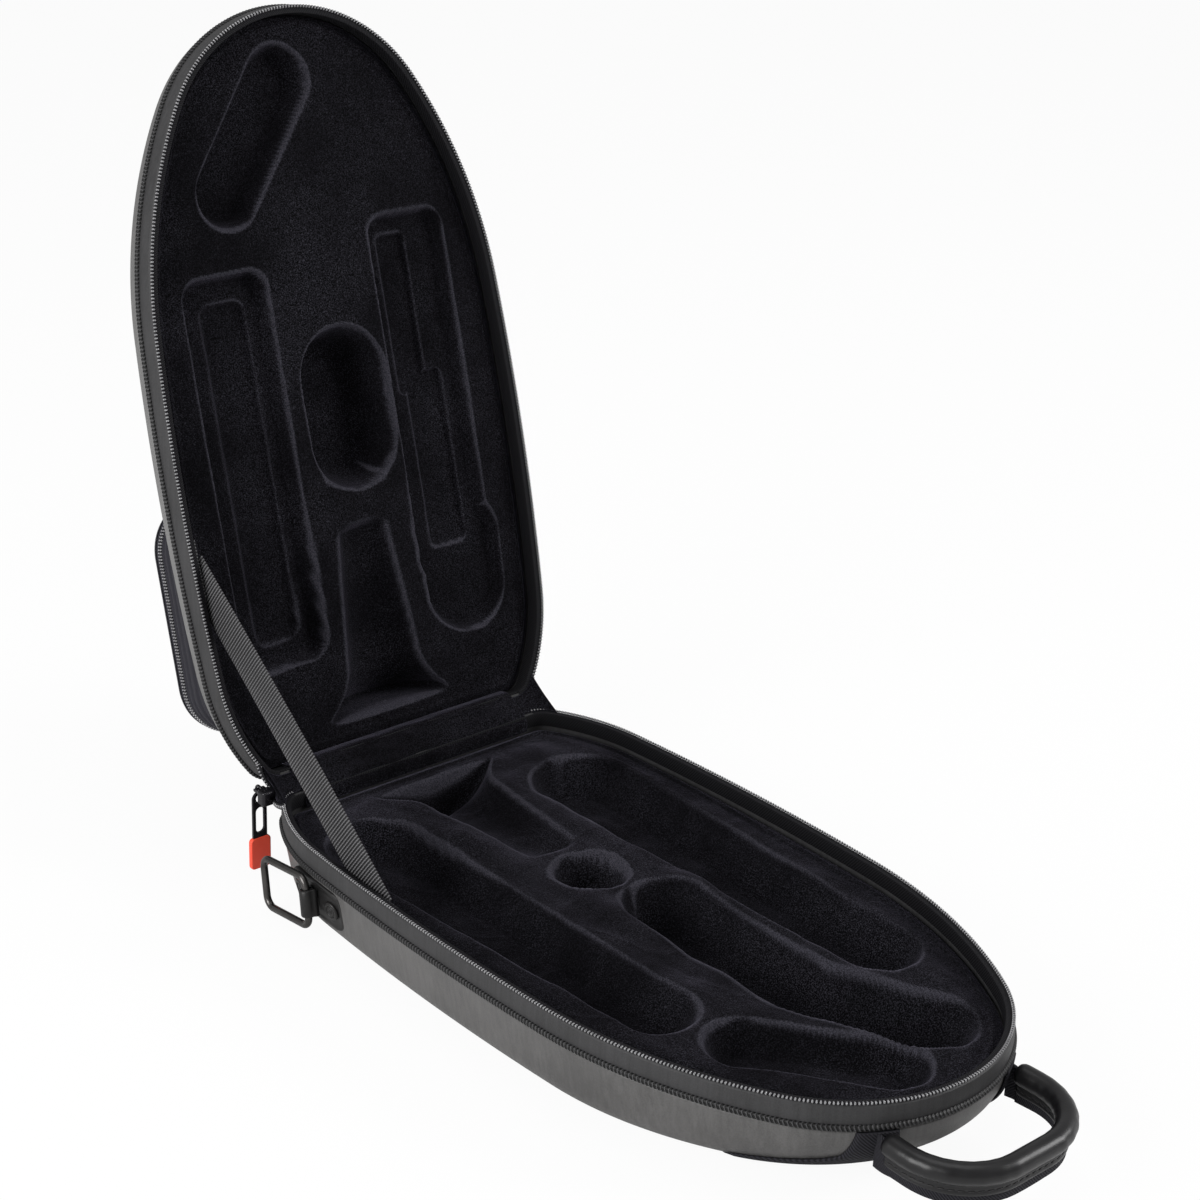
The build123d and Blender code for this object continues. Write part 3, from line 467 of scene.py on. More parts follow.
def plush(name, low, high, sheen):
    # Short pile: tiny fibre tips painted lighter over a near-black ground as a painted sheen speckle,
    # patches brushed one way, and a painted highlight along the rounded lips of the wells.
    finish = Finish(name, Roughness=0.95, Sheen_Weight=sheen, Sheen_Roughness=0.3,
                    Sheen_Tint=(0.66, 0.62, 0.84, 1.0), Specular_IOR_Level=0.04)
    pile = finish.noise(1500.0, 2.0, 0.7)
    patch = finish.noise(15.0, 3.0, 0.6)
    lip = finish.add("ShaderNodeAttribute", {"attribute_name": "lip"}, output=2)
    # Painted sheen: the pile's tips are lighter.
    tone = pile.within(0.46, 0.78) * (0.3 + patch.within(0.38, 0.66) * 0.7)
    # Painted highlight: the plush is lighter where the lip attribute marks a well's lip.
    tone = tone + lip * lip * (0.3 + pile.within(0.35, 0.7) * 0.7)
    finish.colour(tone.within(0.0, 1.0), grey(low, violet), grey(high, violet))
    nap = finish.bump(pile, 0.00035)
    finish.feed("Normal", finish.bump(finish.noise(140.0, 3.0), 0.0004, nap))
    return finish.material


def webbing(name, low, high, rib, rough=0.6):
    # Ribs cross the strap; each is broken into short stitches by the warp.
    bend, warpPitch = 0.0022, 0.00085  # metres across the strap
    finish = Finish(name, Roughness=rough, Specular_IOR_Level=0.25)
    along, across = finish.cloth()
    crown = (along * (2 * pi / rib) + (across * (2 * pi / bend)).sine() * 0.35).sine()
    warp = (across * (2 * pi / warpPitch)).sine()
    fibre = finish.noise(1400.0, 2.0)
    tone = crown * 0.42 + warp * 0.08 + fibre * 0.3 + 0.22
    finish.colour(tone.within(0.2, 0.9), grey(low, neutral), grey(high, neutral))
    finish.feed("Normal", finish.bump(crown * 0.6 + warp * 0.25 + fibre * 0.5, 0.00025))
    return finish.material


def twill(name, low, high, pitch, lean, rough=0.7, depth=0.00016):
    # Slanting ribs of a woven tape.
    finish = Finish(name, Roughness=rough, Specular_IOR_Level=0.16)
    along, across = finish.cloth()
    wave = ((along + across * lean) * (2 * pi / pitch)).sine()
    fibre = finish.noise(1700.0, 2.0)
    tone = wave * 0.3 + fibre * 0.5 + 0.22
    finish.colour(tone.within(0.15, 0.9), grey(low, violet), grey(high, violet))
    finish.feed("Normal", finish.bump(wave * 0.6 + fibre * 0.5, depth))
    return finish.material


def braid(name, low, high, pitch):
    # Slanting strands of a cord: their crowns are painted lighter than the grooves, a painted highlight.
    finish = Finish(name, Roughness=0.5, Specular_IOR_Level=0.3)
    along, across = finish.cloth()
    girth, lean = 0.0054, 1.6  # metres round the cord, and how far the strands slant
    chevron = (across * (2 * pi / girth)).sine() * lean
    crown = (along * (2 * pi / pitch) + chevron).sine()
    fibre = finish.noise(1500.0, 2.0)
    tone = crown.within(0.2, 1.0) * (0.3 + fibre)
    finish.colour(tone, grey(low, neutral), grey(high, neutral))
    finish.feed("Normal", finish.bump(crown * 0.7 + fibre * 0.4, 0.0003))
    return finish.material


def metal(name, colour, rough, metallic=1.0, wear=0.12):
    # Plated or painted metal with soft streaks and tiny dents.
    finish = Finish(name, Metallic=metallic, Roughness=rough, Specular_IOR_Level=0.4)
    streak = finish.noise(60.0, 3.0)
    dust = finish.noise(900.0, 2.0)
    finish.colour(streak.within(0.35, 0.7), (*colour, 1.0), lighter(colour, 1.5))
    finish.feed("Roughness", rough + (dust - 0.5) * wear + (streak - 0.5) * wear)
    finish.feed("Normal", finish.bump(dust, 0.00002))
    return finish.material


def gloss(name, colour, rough, coat=0.0, crease=0.0006, shine=0.4):
    # Moulded rubber, nylon and glossy leather share this: fine skin, faint mottling.
    finish = Finish(name, Roughness=rough, Coat_Weight=coat, Coat_Roughness=0.22,
                    Specular_IOR_Level=shine)
    skin = finish.noise(700.0, 3.0)
    slow = finish.noise(45.0, 2.0)
    finish.colour(slow.within(0.3, 0.7), (*colour, 1.0), lighter(colour, 1.35, 0.004))
    finish.feed("Roughness", rough + (slow - 0.5) * 0.2 + (skin - 0.5) * 0.12)
    creases = finish.bump(slow, crease)
    finish.feed("Normal", finish.bump(skin, 0.00005, creases))
    return finish.material


finishes = dict(
    shell=leatherette("shellSkin", 0.055, 0.1, warm, 0.42, (1, 1, 0.06), 0.12),
    band=leatherette("bandSkin", 0.017, 0.036, neutral, 0.6, (1, 1, 0.05)),
    plush=plush("plushPile", 0.0015, 0.05, 0.13),
    strap=webbing("strapWebbing", 0.012, 0.17, 0.0018),
    handleWeb=twill("handleWebbing", 0.003, 0.03, 0.0016, 0.9),
    tape=twill("zipTape", 0.001, 0.014, 0.0012, 0.6),
    binding=twill("bindingTape", 0.001, 0.009, 0.0017, 0.8),
    braid=braid("pipingBraid", 0.002, 0.07, 0.0021),
    coil=gloss("coilNylon", (0.17, 0.168, 0.175), 0.2, 1.0),
    pocket=twill("pocketCloth", 0.012, 0.05, 0.0009, 1.0, 0.66),
    hinge=twill("hingeCloth", 0.002, 0.012, 0.001, 1.0, 0.8),
    slider=metal("sliderBlack", (0.014, 0.013, 0.016), 0.2, 0.5),
    ring=metal("ringGunmetal", (0.065, 0.062, 0.06), 0.3),
    plate=metal("plateBlack", (0.008, 0.0077, 0.0077), 0.42, 0.2),
    rivet=metal("rivetBlack", (0.009, 0.0085, 0.0085), 0.34, 0.3),
    tag=gloss("tagRubber", (0.92, 0.085, 0.045), 0.45),
    leather=gloss("gripLeather", (0.003, 0.0028, 0.0034), 0.38, 0.12, 0.0005, 0.3),
    thread=gloss("thread", (0.012, 0.011, 0.012), 0.6),
)
print("finishes made")


shellRows = dict(outer=34, inner=16, face=12, pole=0.04)


def shellWallRows(form, wall, count):
    # Rows from the band's seam to the start of the flat outer face.
    top = form["depth"] - wall
    share = np.sin(np.linspace(0, pi / 2, count))
    heights = form["band"] + (top - form["band"]) * share
    return [(height, shellOutline(form, height, wall)) for height in heights]


def faceRows(outline):
    # The flat face shrinks towards its middle.
    middle = np.array([0, (outline[:, 1].max() + outline[:, 1].min()) / 2])
    shares = np.linspace(1, shellRows["pole"], shellRows["face"])[1:]
    return [middle + (outline - middle) * share for share in shares]


def makeShell(where):
    # Outer skin from pole to seam, then the inner skin back to its own pole.
    form = forms[where]
    rows = []
    for wall, count in ((0.0, shellRows["outer"]), (shellWall, shellRows["inner"])):
        side = shellWallRows(form, wall, count)
        height, last = side[-1]
        walls = [places[where](*outline.T, h) for h, outline in side]
        face = [places[where](*outline.T, height) for outline in faceRows(last)]
        rows.append(walls + face)
    grid = np.array(rows[0][::-1] + rows[1])
    return makeSwept(f"{where}MouldedShell", grid, False, finishes["shell"], where)


for where in places:
    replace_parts(makeShell(where), f"{where}_shell")


# Sizes across a rim: insets from the outline, and distances from the rim's plane.
rimShape = dict(
    bandTop=0.00175, bandBulge=0.0004, bandLip=0.0007, bandTuck=0.0002, bandShoulder=0.0008,
    bandRadii=(0.0004, 0.02, 0.0004, 0.0004, 0.0002, 0.0002),
    pipingAcross=0.0015, pipingHigh=0.0017, pipingCenter=-0.0001, pipingStep=0.0004,
    pipingPitch=0.0021, pipingCrown=0.1, pipingLean=2.2, pipingSides=16,
    coilLong=0.0017, coilThick=0.0012, coilTall=1.2, coilPitch=0.0019, coilInset=0.0009,
    coilHeight=0.00092, cordRadius=0.00045, cordSides=8,
    tapeTop=0.00145, tapeLow=0.0021, tapeInset=0.0011, tapeEnd=0.0046, tapeRound=0.0002,
    bindingInset=0.0035, bindingEnd=0.0047, bindingLow=0.0098, bindingRound=0.0003,
)


def makeBand(where):
    # A soft-edged strip with a slightly swollen face.
    shape, low = rimShape, forms[where]["band"]
    corners = [(shape["bandTuck"], low), (-shape["bandBulge"], (low + shape["bandTop"]) / 2),
               (0.0, shape["bandTop"] + shape["bandShoulder"]),
               (shape["bandLip"], shape["bandTop"]), (shellWall, shape["bandTop"]),
               (shellWall, low)]
    grid = rimLoopGrid(where, roundedLoop(corners, shape["bandRadii"], 5))
    return makeSwept(f"{where}Band", grid, True, finishes["band"], where)


def makePiping(where):
    # A round cord in the seam: slanting strands meet in a chevron along its middle.  Its
    # radius swells with a sine of the distance walked, which shifts with the turn round it.
    shape = rimShape
    even = resample(planOutline(shape["pipingCenter"]), shape["pipingStep"], True)
    ahead = unit(np.roll(even, -1, 0) - np.roll(even, 1, 0))
    outwards = np.stack([-ahead[:, 1], ahead[:, 0]], 1)
    turn = np.linspace(0, 2 * pi, shape["pipingSides"], endpoint=False)
    walked = np.arange(len(even))[:, None] * shape["pipingStep"]
    strands = np.sin(walked * 2 * pi / shape["pipingPitch"]
                     + shape["pipingLean"] * np.abs(np.sin(turn)))
    swell = 1 + shape["pipingCrown"] * strands
    across = shape["pipingAcross"] * np.cos(turn) * swell
    height = (forms[where]["band"] - shape["pipingHigh"]
              + shape["pipingHigh"] * np.sin(turn) * swell)
    grid = places[where](even[:, :1] + outwards[:, :1] * across,
                         even[:, 1:] + outwards[:, 1:] * across, height)
    return makeSwept(f"{where}Piping", grid, True, finishes["braid"], where)


def makeCoil(where):
    # Each turn of the nylon coil is a short rod across the rim; a cord runs through them.
    shape = rimShape
    plan = planOutline(shape["coilInset"])[zipFirst:zipLast]
    line = resample(plan, shape["coilPitch"])
    grids = teethGrids(places[where], line, shape["coilHeight"], shape["coilLong"],
                       shape["coilThick"], shape["coilTall"])
    teeth = makeMany(f"{where}ZipCoil", grids, False, finishes["coil"], where)
    turn = np.linspace(0, 2 * pi, shape["cordSides"], endpoint=False)
    ring = [(shape["coilInset"] + shape["cordRadius"] * cos(t),
             shape["coilHeight"] + shape["cordRadius"] * sin(t)) for t in turn]
    cord = makeSwept(f"{where}CoilCord", rimLoopGrid(where, ring, zipFirst, zipLast), False,
                     finishes["tape"], where)
    return teeth, cord


def makeStrip(kind, where, top, low, first=None, last=None):
    # A flat strip's rounded rectangle goes round the rim.
    shape = rimShape
    inner, outer = shape[f"{kind}Inset"], shape[f"{kind}End"]
    loop = roundedLoop([(inner, top), (outer, top), (outer, low), (inner, low)],
                       shape[f"{kind}Round"], 3)
    name = f"{where}{'Zip' if kind == 'tape' else ''}{kind.capitalize()}"
    return makeSwept(name, rimLoopGrid(where, loop, first, last), first is None,
                     finishes[kind], where)


for where in places:
    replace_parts(makeBand(where), f"{where}_rim_band")
    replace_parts(makePiping(where), f"{where}_piping")
    for piece in makeCoil(where):
        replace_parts(piece, f"{where}_zip_chain")
    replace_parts(makeStrip("tape", where, rimShape["tapeTop"], rimShape["tapeLow"],
                          zipFirst, zipLast), f"{where}_zip_tape")
    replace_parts(makeStrip("binding", where, rimShape["bandTop"], rimShape["bindingLow"]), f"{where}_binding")
print("shells and rims made")


# The padding's wells follow the instrument.
# Places are (distance right of the middle, distance in front of the hinge edge).
liningShape = dict(
    edgeInset=0.0047, edgeDepth=0.0098, edgeRoll=0.004, rollDeep=0.0016, crown=0.0012,
    crownWide=0.03, across=230, along=400, skirt=7, middleShift=0.012, fill=0.9,
    welt=0.0011, weltAt=0.0052, weltWide=0.0014,
    foldLong=0.042, foldLongShare=0.5, foldShort=0.02, foldShortShare=0.28,
    crease=0.07, creaseHigh=0.3, creasePower=6, calmEdge=0.006, calmWide=0.012,
    # These two set the painted highlight along the wells' lips: how far around a lip is measured, and the lap
    # at which it is full.
    lipHighlightCells=2, lipHighlightFull=0.00075,
    bell=dict(mouth=0.042, waist=0.026, neck=0.019, mouthAt=0.020, waistAt=0.050, neckAt=0.124,
              lip=0.004, flare=2.2),
)
# A well runs from circle a to circle b, each (right, in front, radius).
baseWells = [
    dict(a=(0.0, 0.152, 0.0175), b=(0.0, 0.153, 0.0175), depth=0.022, wall=0.007, edge=0.003),
    dict(a=(-0.072, 0.062, 0.025), b=(-0.062, 0.272, 0.018), depth=0.020, wall=0.013, edge=0.004),
    dict(a=(0.066, 0.072, 0.028), b=(0.066, 0.296, 0.020), depth=0.023, wall=0.014, edge=0.004),
    dict(a=(0.010, 0.200, 0.020), b=(0.010, 0.299, 0.020), depth=0.026, wall=0.016, edge=0.005),
    dict(a=(0.010, 0.299, 0.020), b=(0.036, 0.358, 0.020), depth=0.026, wall=0.016, edge=0.005),
    dict(a=(-0.048, 0.318, 0.018), b=(-0.006, 0.3715, 0.018), depth=0.017, wall=0.009, edge=0.003),
]
lidWells = [
    dict(a=(-0.050, 0.318, 0.018), b=(-0.007, 0.374, 0.018), depth=0.014, wall=0.006, edge=0.002),
    dict(a=(0.005, 0.173, 0.026), b=(0.005, 0.208, 0.026), depth=0.026, wall=0.009, edge=0.003),
]
baseBlend, lidBlend = 0.003, 0.0015
# The lid's two long trays are level, and each has a shallower step inside.
trayShape = dict(depth=0.009, wall=0.0035, edge=0.002, blend=0.001, level=0.004)
leftTray = dict(box=((-0.0625, 0.1665), (0.0255, 0.1075), 0.010),
                inner=((-0.062, 0.166), (0.0135, 0.094), 0.006), step=(0.003, 0.003, 0.001))
rightTray = dict(box=((0.0625, 0.187), (0.0245, 0.104), 0.010),
                 slot=((0.066, 0.075, 0.026), (0.0665, 0.100, 0.0265)),
                 upper=((0.056, 0.235), (0.009, 0.045), 0.003),
                 lower=((0.064, 0.150), (0.012, 0.050), 0.004), step=(0.003, 0.002, 0.001))


def taperedSlot(x, y, a, b):
    # Signed distance to the tight outline round two circles, negative inside.
    ax, ay, ra = a
    bx, by, rb = b
    reach = hypot(bx - ax, by - ay)
    ux, uy = (bx - ax) / reach, (by - ay) / reach
    along = (x - ax) * ux + (y - ay) * uy
    across = np.abs((y - ay) * ux - (x - ax) * uy)
    lean = (ra - rb) / reach
    slope = sqrt(max(0.0, 1 - lean * lean))
    key = along * slope - across * lean
    flank = across * slope + along * lean - ra
    return np.where(key < 0, np.hypot(across, along) - ra,
                    np.where(key > slope * reach, np.hypot(across, along - reach) - rb, flank))


def roundedBox(x, y, center, half, corner):
    # Signed distance to a rectangle with round corners.
    qx = np.abs(x - center[0]) - half[0] + corner
    qy = np.abs(y - center[1]) - half[1] + corner
    outside = np.hypot(np.maximum(qx, 0), np.maximum(qy, 0))
    return outside + np.minimum(np.maximum(qx, qy), 0) - corner


def ease(value):
    # 3 v squared - 2 v cubed, level at 0 and at 1.
    value = np.clip(value, 0, 1)
    return value * value * (3 - 2 * value)


def sink(distance, depth, wall, edge):
    # Depth inside a well is the full depth times the root of the eased share of its wall:
    # a rounded lip, a steep wall and a bowl-like floor.
    inside = -distance + edge
    return depth * np.sqrt(np.clip(ease(inside / (wall + edge)), 0, 1)) * (inside > 0)


def softMost(first, second, blend):
    # The greater of two depths, with the crease between them rounded off.
    share = np.clip(0.5 + 0.5 * (first - second) / blend, 0, 1)
    return second + (first - second) * share + blend * share * (1 - share)


def softNoise(x, y, seed, scale, waves=26):
    # Seeded sum of slanting sine waves whose length is about scale.
    draw = np.random.default_rng(seed)
    turn = draw.uniform(0, pi, waves)
    rate = 2 * pi / (scale * draw.uniform(0.6, 1.7, waves))
    start = draw.uniform(0, 2 * pi, waves)
    field = sum(np.sin((x * cos(t) + y * sin(t)) * r + s) for t, r, s in zip(turn, rate, start))
    return field / sqrt(waves)


def bellDepth(x, y):
    # The bell lies on its side with its axis in the rim plane, so its hollow is half a horn.
    bell = liningShape["bell"]
    share = np.clip((y - bell["mouthAt"]) / (bell["waistAt"] - bell["mouthAt"]), 0, 1)
    flare = bell["waist"] + (bell["mouth"] - bell["waist"]) * (1 - share) ** bell["flare"]
    stem = bell["waist"] + (bell["neck"] - bell["waist"]) * np.clip(
        (y - bell["waistAt"]) / (bell["neckAt"] - bell["waistAt"]), 0, 1)
    radius = np.where(y < bell["waistAt"], flare, stem)
    horn = np.sqrt(np.maximum(radius ** 2 - x ** 2, 0)) - liningShape["edgeDepth"]
    ends = ease((y - bell["mouthAt"] + bell["lip"]) / (2 * bell["lip"])) * ease(
        (bell["neckAt"] - y + bell["lip"]) / (2 * bell["lip"]))
    return np.maximum(horn, 0) * ends


def hollowDepth(x, y, wells, blend):
    # The bell and the wells, melted together.
    depth = bellDepth(x, y)
    for well in wells:
        depth = softMost(depth, sink(taperedSlot(x, y, well["a"], well["b"]),
                                     well["depth"], well["wall"], well["edge"]), blend)
    return depth


def baseHollow(x, y):
    # The base has the bell and its wells only.
    return hollowDepth(x, y, baseWells, baseBlend)


def trayDepth(depth, tray, step, stepShape):
    # A level tray with one more step down inside it.
    shape = trayShape
    sunk = sink(tray, shape["depth"], shape["wall"], shape["edge"])
    floor = shape["depth"] * (tray < -shape["level"]) + sink(step, *stepShape)
    return np.maximum(softMost(depth, sunk, shape["blend"]), floor)


def lidHollow(x, y):
    # The lid's padding also has two trays with stepped floors.
    depth = hollowDepth(x, y, lidWells, lidBlend)
    left, right = leftTray, rightTray
    depth = trayDepth(depth, roundedBox(x, y, *left["box"]), roundedBox(x, y, *left["inner"]),
                      left["step"])
    tray = np.minimum(taperedSlot(x, y, *right["slot"]), roundedBox(x, y, *right["box"]))
    key = np.minimum(roundedBox(x, y, *right["upper"]), roundedBox(x, y, *right["lower"]))
    return trayDepth(depth, tray, key, right["step"])


def radiusAt(outline, middle, turn):
    # Distance from the middle to the outline along each direction.
    spokes = outline - middle
    angle = np.unwrap(np.arctan2(spokes[:, 1], spokes[:, 0]))
    reach = np.hypot(spokes[:, 0], spokes[:, 1])
    order = np.argsort(angle % (2 * pi))
    return np.interp(turn % (2 * pi), (angle % (2 * pi))[order], reach[order], period=2 * pi)


# Soft rises of the base's padding between its wells, placed as the wells are.
baseMounds = [
    dict(at=(0.034, 0.196), size=(0.009, 0.016), high=0.0035),
    dict(at=(-0.020, 0.190), size=(0.010, 0.022), high=0.0028),
    dict(at=(-0.036, 0.275), size=(0.009, 0.016), high=0.0022),
    dict(at=(0.030, 0.110), size=(0.010, 0.030), high=0.0022),
    dict(at=(-0.028, 0.100), size=(0.009, 0.034), high=0.0022),
]


def makeLining(where, hollow, wrinkle, seed, mounds):
    # A square grid pressed into the outline, sunk by the wells, with a skirt to the shell's
    # floor.  Grid corners land on the outline, so no pole is needed.  Folds are a sum of
    # slow sines less a power of a slower one; a mound is a bell curve of the distance.
    shape, form = liningShape, forms[where]
    middle = np.array([0, (hingeEdge + noseY) / 2 + shape["middleShift"]])
    a, b = np.meshgrid(np.linspace(-1, 1, shape["across"]), np.linspace(-1, 1, shape["along"]))
    u, v = a * np.sqrt(1 - b * b / 2), b * np.sqrt(1 - a * a / 2)
    turn, share = np.arctan2(v, u), np.hypot(u, v)
    edge = planOutline(shape["edgeInset"])
    reach = radiusAt(edge, middle, turn)
    x, y = middle[0] + share * reach * np.cos(turn), middle[1] + share * reach * np.sin(turn)
    inFront = hingeEdge - y
    toEdge = (1 - share) * reach
    roll = np.clip(1 - toEdge / shape["edgeRoll"], 0, 1)
    top = shape["edgeDepth"] - shape["crown"] * ease(toEdge / shape["crownWide"])
    top = top + shape["rollDeep"] * (1 - np.sqrt(1 - roll * roll))
    top = top - shape["welt"] * np.exp(-((toEdge - shape["weltAt"]) / shape["weltWide"]) ** 2)
    sunk = hollow(x, inFront)
    fold = softNoise(x, inFront, seed, shape["foldLong"]) * shape["foldLongShare"]
    fold = fold + softNoise(x, inFront, seed + 1, shape["foldShort"]) * shape["foldShortShare"]
    crease = 1 - np.abs(softNoise(x, inFront, seed + 2, shape["crease"]))
    fold = fold - shape["creaseHigh"] * np.clip(crease, 0, 1) ** shape["creasePower"]
    height = top + sunk + wrinkle * fold * ease((toEdge - shape["calmEdge"]) / shape["calmWide"])
    for mound in mounds:
        away = np.hypot((x - mound["at"][0]) / mound["size"][0],
                        (inFront - mound["at"][1]) / mound["size"][1])
        height = height - mound["high"] * np.exp(-away ** 2)
    grid = places[where](x, y, height)
    rows, columns = x.shape
    spot = np.arange(rows * columns).reshape(rows, columns)
    quads = np.stack([spot[:-1, :-1], spot[:-1, 1:], spot[1:, 1:], spot[1:, :-1]], -1)
    rim = np.concatenate([spot[0, :-1], spot[:-1, -1], spot[-1, :0:-1], spot[:0:-1, 0]])
    rimTurn = turn.ravel()[rim]
    vertices, faces, last = [grid.reshape(-1, 3)], quads.reshape(-1, 4).tolist(), rim
    inset = shellWall + seatGap
    offset = rows * columns
    for depth in np.linspace(form["band"], form["depth"] - inset, shape["skirt"]):
        outline = shellOutline(form, depth, inset)
        spoke = radiusAt(outline, middle, rimTurn)
        vertices.append(places[where](middle[0] + spoke * np.cos(rimTurn),
                                      middle[1] + spoke * np.sin(rimTurn), depth))
        ring = np.arange(offset, offset + len(rim))
        faces += np.stack([last, ring, np.roll(ring, -1), np.roll(last, -1)], -1).tolist()
        last, offset = ring, offset + len(rim)
    faces.append(last.tolist())
    piece = makePiece(f"{where}Plush", np.concatenate(vertices), faces, finishes["plush"],
                      where)
    # A lip is where the surface stands above what lies a few cells away on all sides. Its share is stored as
    # an attribute, which the plush finish uses for a painted highlight.
    far = shape["lipHighlightCells"]
    ringed = np.pad(sunk, far, mode="edge")
    around = (ringed[2 * far:, far:-far] + ringed[:-2 * far, far:-far]
              + ringed[far:-far, 2 * far:] + ringed[far:-far, :-2 * far]) / 4
    lip = np.zeros(len(piece.data.vertices), "f")
    lip[:sunk.size] = np.clip((around - sunk) / shape["lipHighlightFull"], 0, 1).ravel()
    piece.data.attributes.new("lip", "FLOAT", "POINT").data.foreach_set("value", lip)
    return piece


linings = dict(base=dict(hollow=baseHollow, wrinkle=0.0011, seed=11, mounds=baseMounds),
               lid=dict(hollow=lidHollow, wrinkle=0.00035, seed=23, mounds=[]))
for where, lining in linings.items():
    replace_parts(makeLining(where, **lining), f"{where}_lining")
print("padding made")


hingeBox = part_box("hinge_fabric")
flapShape = dict(half=0.0785, inset=0.0054, deep=0.0108, turn=0.0036, crest=0.0042, step=0.0006,
                 smooth=8, thick=0.0008, pucker=0.0005, puckerLong=0.03, puckerSeed=5,
                 puckerSwell=0.6, squeeze=2.5, across=150)
hingeShape = dict(out=0.0006, baseEnd=0.004, lidStart=0.004, lidEnd=0.0102, crown=0.0012,
                  step=0.0006, smooth=14, thick=0.0008, across=60, blendFrom=0.003)


def makeHingeCloth():
    # One strip lies on the back of both bands and bends once above the hinge line.
    shape = hingeShape
    backY = hingeEdge + shape["out"]
    onBand = [[backY, hingeBox[0].z], [backY, rimHeight - shape["baseEnd"]]]
    bend = [[hingePoint[1] - shape["crown"], rimHeight + shape["crown"]]]
    onTop = onLid(0.0, backY, np.array([shape["lidStart"], shape["lidEnd"]]))[:, 1:]
    spine = softened(resample(np.concatenate([onBand, bend, onTop]), shape["step"]),
                     shape["smooth"])
    ahead = pathAhead(spine)
    normal = np.stack([ahead[:, 1], -ahead[:, 0]], 1) * shape["thick"] / 2
    ring = np.concatenate([spine + normal, (spine - normal)[::-1]])
    x = np.linspace(hingeBox[0].x, hingeBox[1].x, shape["across"])
    grid = np.stack(np.broadcast_arrays(x[:, None], ring[None, :, 0], ring[None, :, 1]), -1)
    cloth = makeSwept("hingeCloth", grid, False, finishes["hinge"], None)
    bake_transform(cloth)
    float(pathLength(spine)[-1])
    return cloth


def makeHingePlush():
    # Inside, a plush flap joins both paddings over the hinge, a little puckered.
    shape = flapShape
    inset, heights = shape["inset"], np.array([shape["deep"], shape["turn"]])
    low = onBase(0.0, hingeEdge - inset, heights)[:, 1:]
    high = onLid(0.0, hingeEdge - inset, heights[::-1])[:, 1:]
    bisector = -openAngle / 2 + pi  # from the hinge line, halfway between both rims
    crest = hingePoint[1:] + shape["crest"] * np.array([cos(bisector), sin(bisector)])
    spine = softened(resample(np.concatenate([low, [crest], high]), shape["step"]),
                     shape["smooth"])
    ahead = pathAhead(spine)
    normal = np.stack([-ahead[:, 1], ahead[:, 0]], 1)
    normal *= np.sign((normal * (spine - hingePoint[1:])).sum(1).mean())
    x = np.linspace(-shape["half"], shape["half"], shape["across"])
    walked = np.arange(len(spine)) * shape["step"]
    a, b = np.meshgrid(x, walked, indexing="ij")
    free = np.sin(b / walked[-1] * pi)
    ripple = softNoise(a, b * shape["squeeze"], shape["puckerSeed"], shape["puckerLong"])
    pucker = shape["pucker"] * free * (ripple + shape["puckerSwell"])
    front = spine + normal * (shape["thick"] / 2 + pucker)[..., None]
    rear = spine + normal * (pucker - shape["thick"] / 2)[..., None]
    ring = np.concatenate([front, rear[:, ::-1]], 1)
    grid = np.concatenate([np.broadcast_to(x[:, None, None], ring.shape[:2] + (1,)), ring], -1)
    flap = makeSwept("hingePlush", grid, False, finishes["plush"], None)
    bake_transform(flap)
    return flap


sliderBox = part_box("zip_slider")
sliderMiddle = np.array((sliderBox[0] + sliderBox[1]) / 2)
tailShape = dict(leaveY=0.0115, wide=0.0034, thick=0.0012, round=0.0004, bow=0.0012, dip=0.0012,
                 mouth=(0.001, -0.0005, 0.0026))
gussetShape = dict(inset=0.0016, thick=0.0008, height=0.0012, inner=0.077, deep=0.0122, rows=22,
                   slack=0.0006, reach=0.85)


def zipEndPath(where, count=16):
    # From where the coil leaves the rim's corner to the slider's mouth, slightly bowed.
    shape, rim = tailShape, rimShape
    plan = planOutline(rim["coilInset"])[:zipLast]
    inFront = plan[(plan[:, 0] < 0) & (plan[:, 1] < hingeEdge - shape["leaveY"])]
    start = places[where](*inFront[-1], rim["coilHeight"])
    side = -1 if where == "base" else 1
    mouth = sliderMiddle + np.array(shape["mouth"]) * [1, 1, side]
    share = np.linspace(0, 1, count)
    path = start + (mouth - start) * share[:, None]
    path[:, 0] -= shape["bow"] * np.sin(share * pi)
    if where == "base":
        path[:, 2] -= shape["dip"] * np.sin(share * pi) ** 0.5
    return path


def surfaceArea(grid):
    # Half the length of the cross product of each cell's diagonals.
    first, second = grid[1:, 1:] - grid[:-1, :-1], grid[1:, :-1] - grid[:-1, 1:]
    return float(np.linalg.norm(np.cross(first, second), axis=-1).sum() / 2)


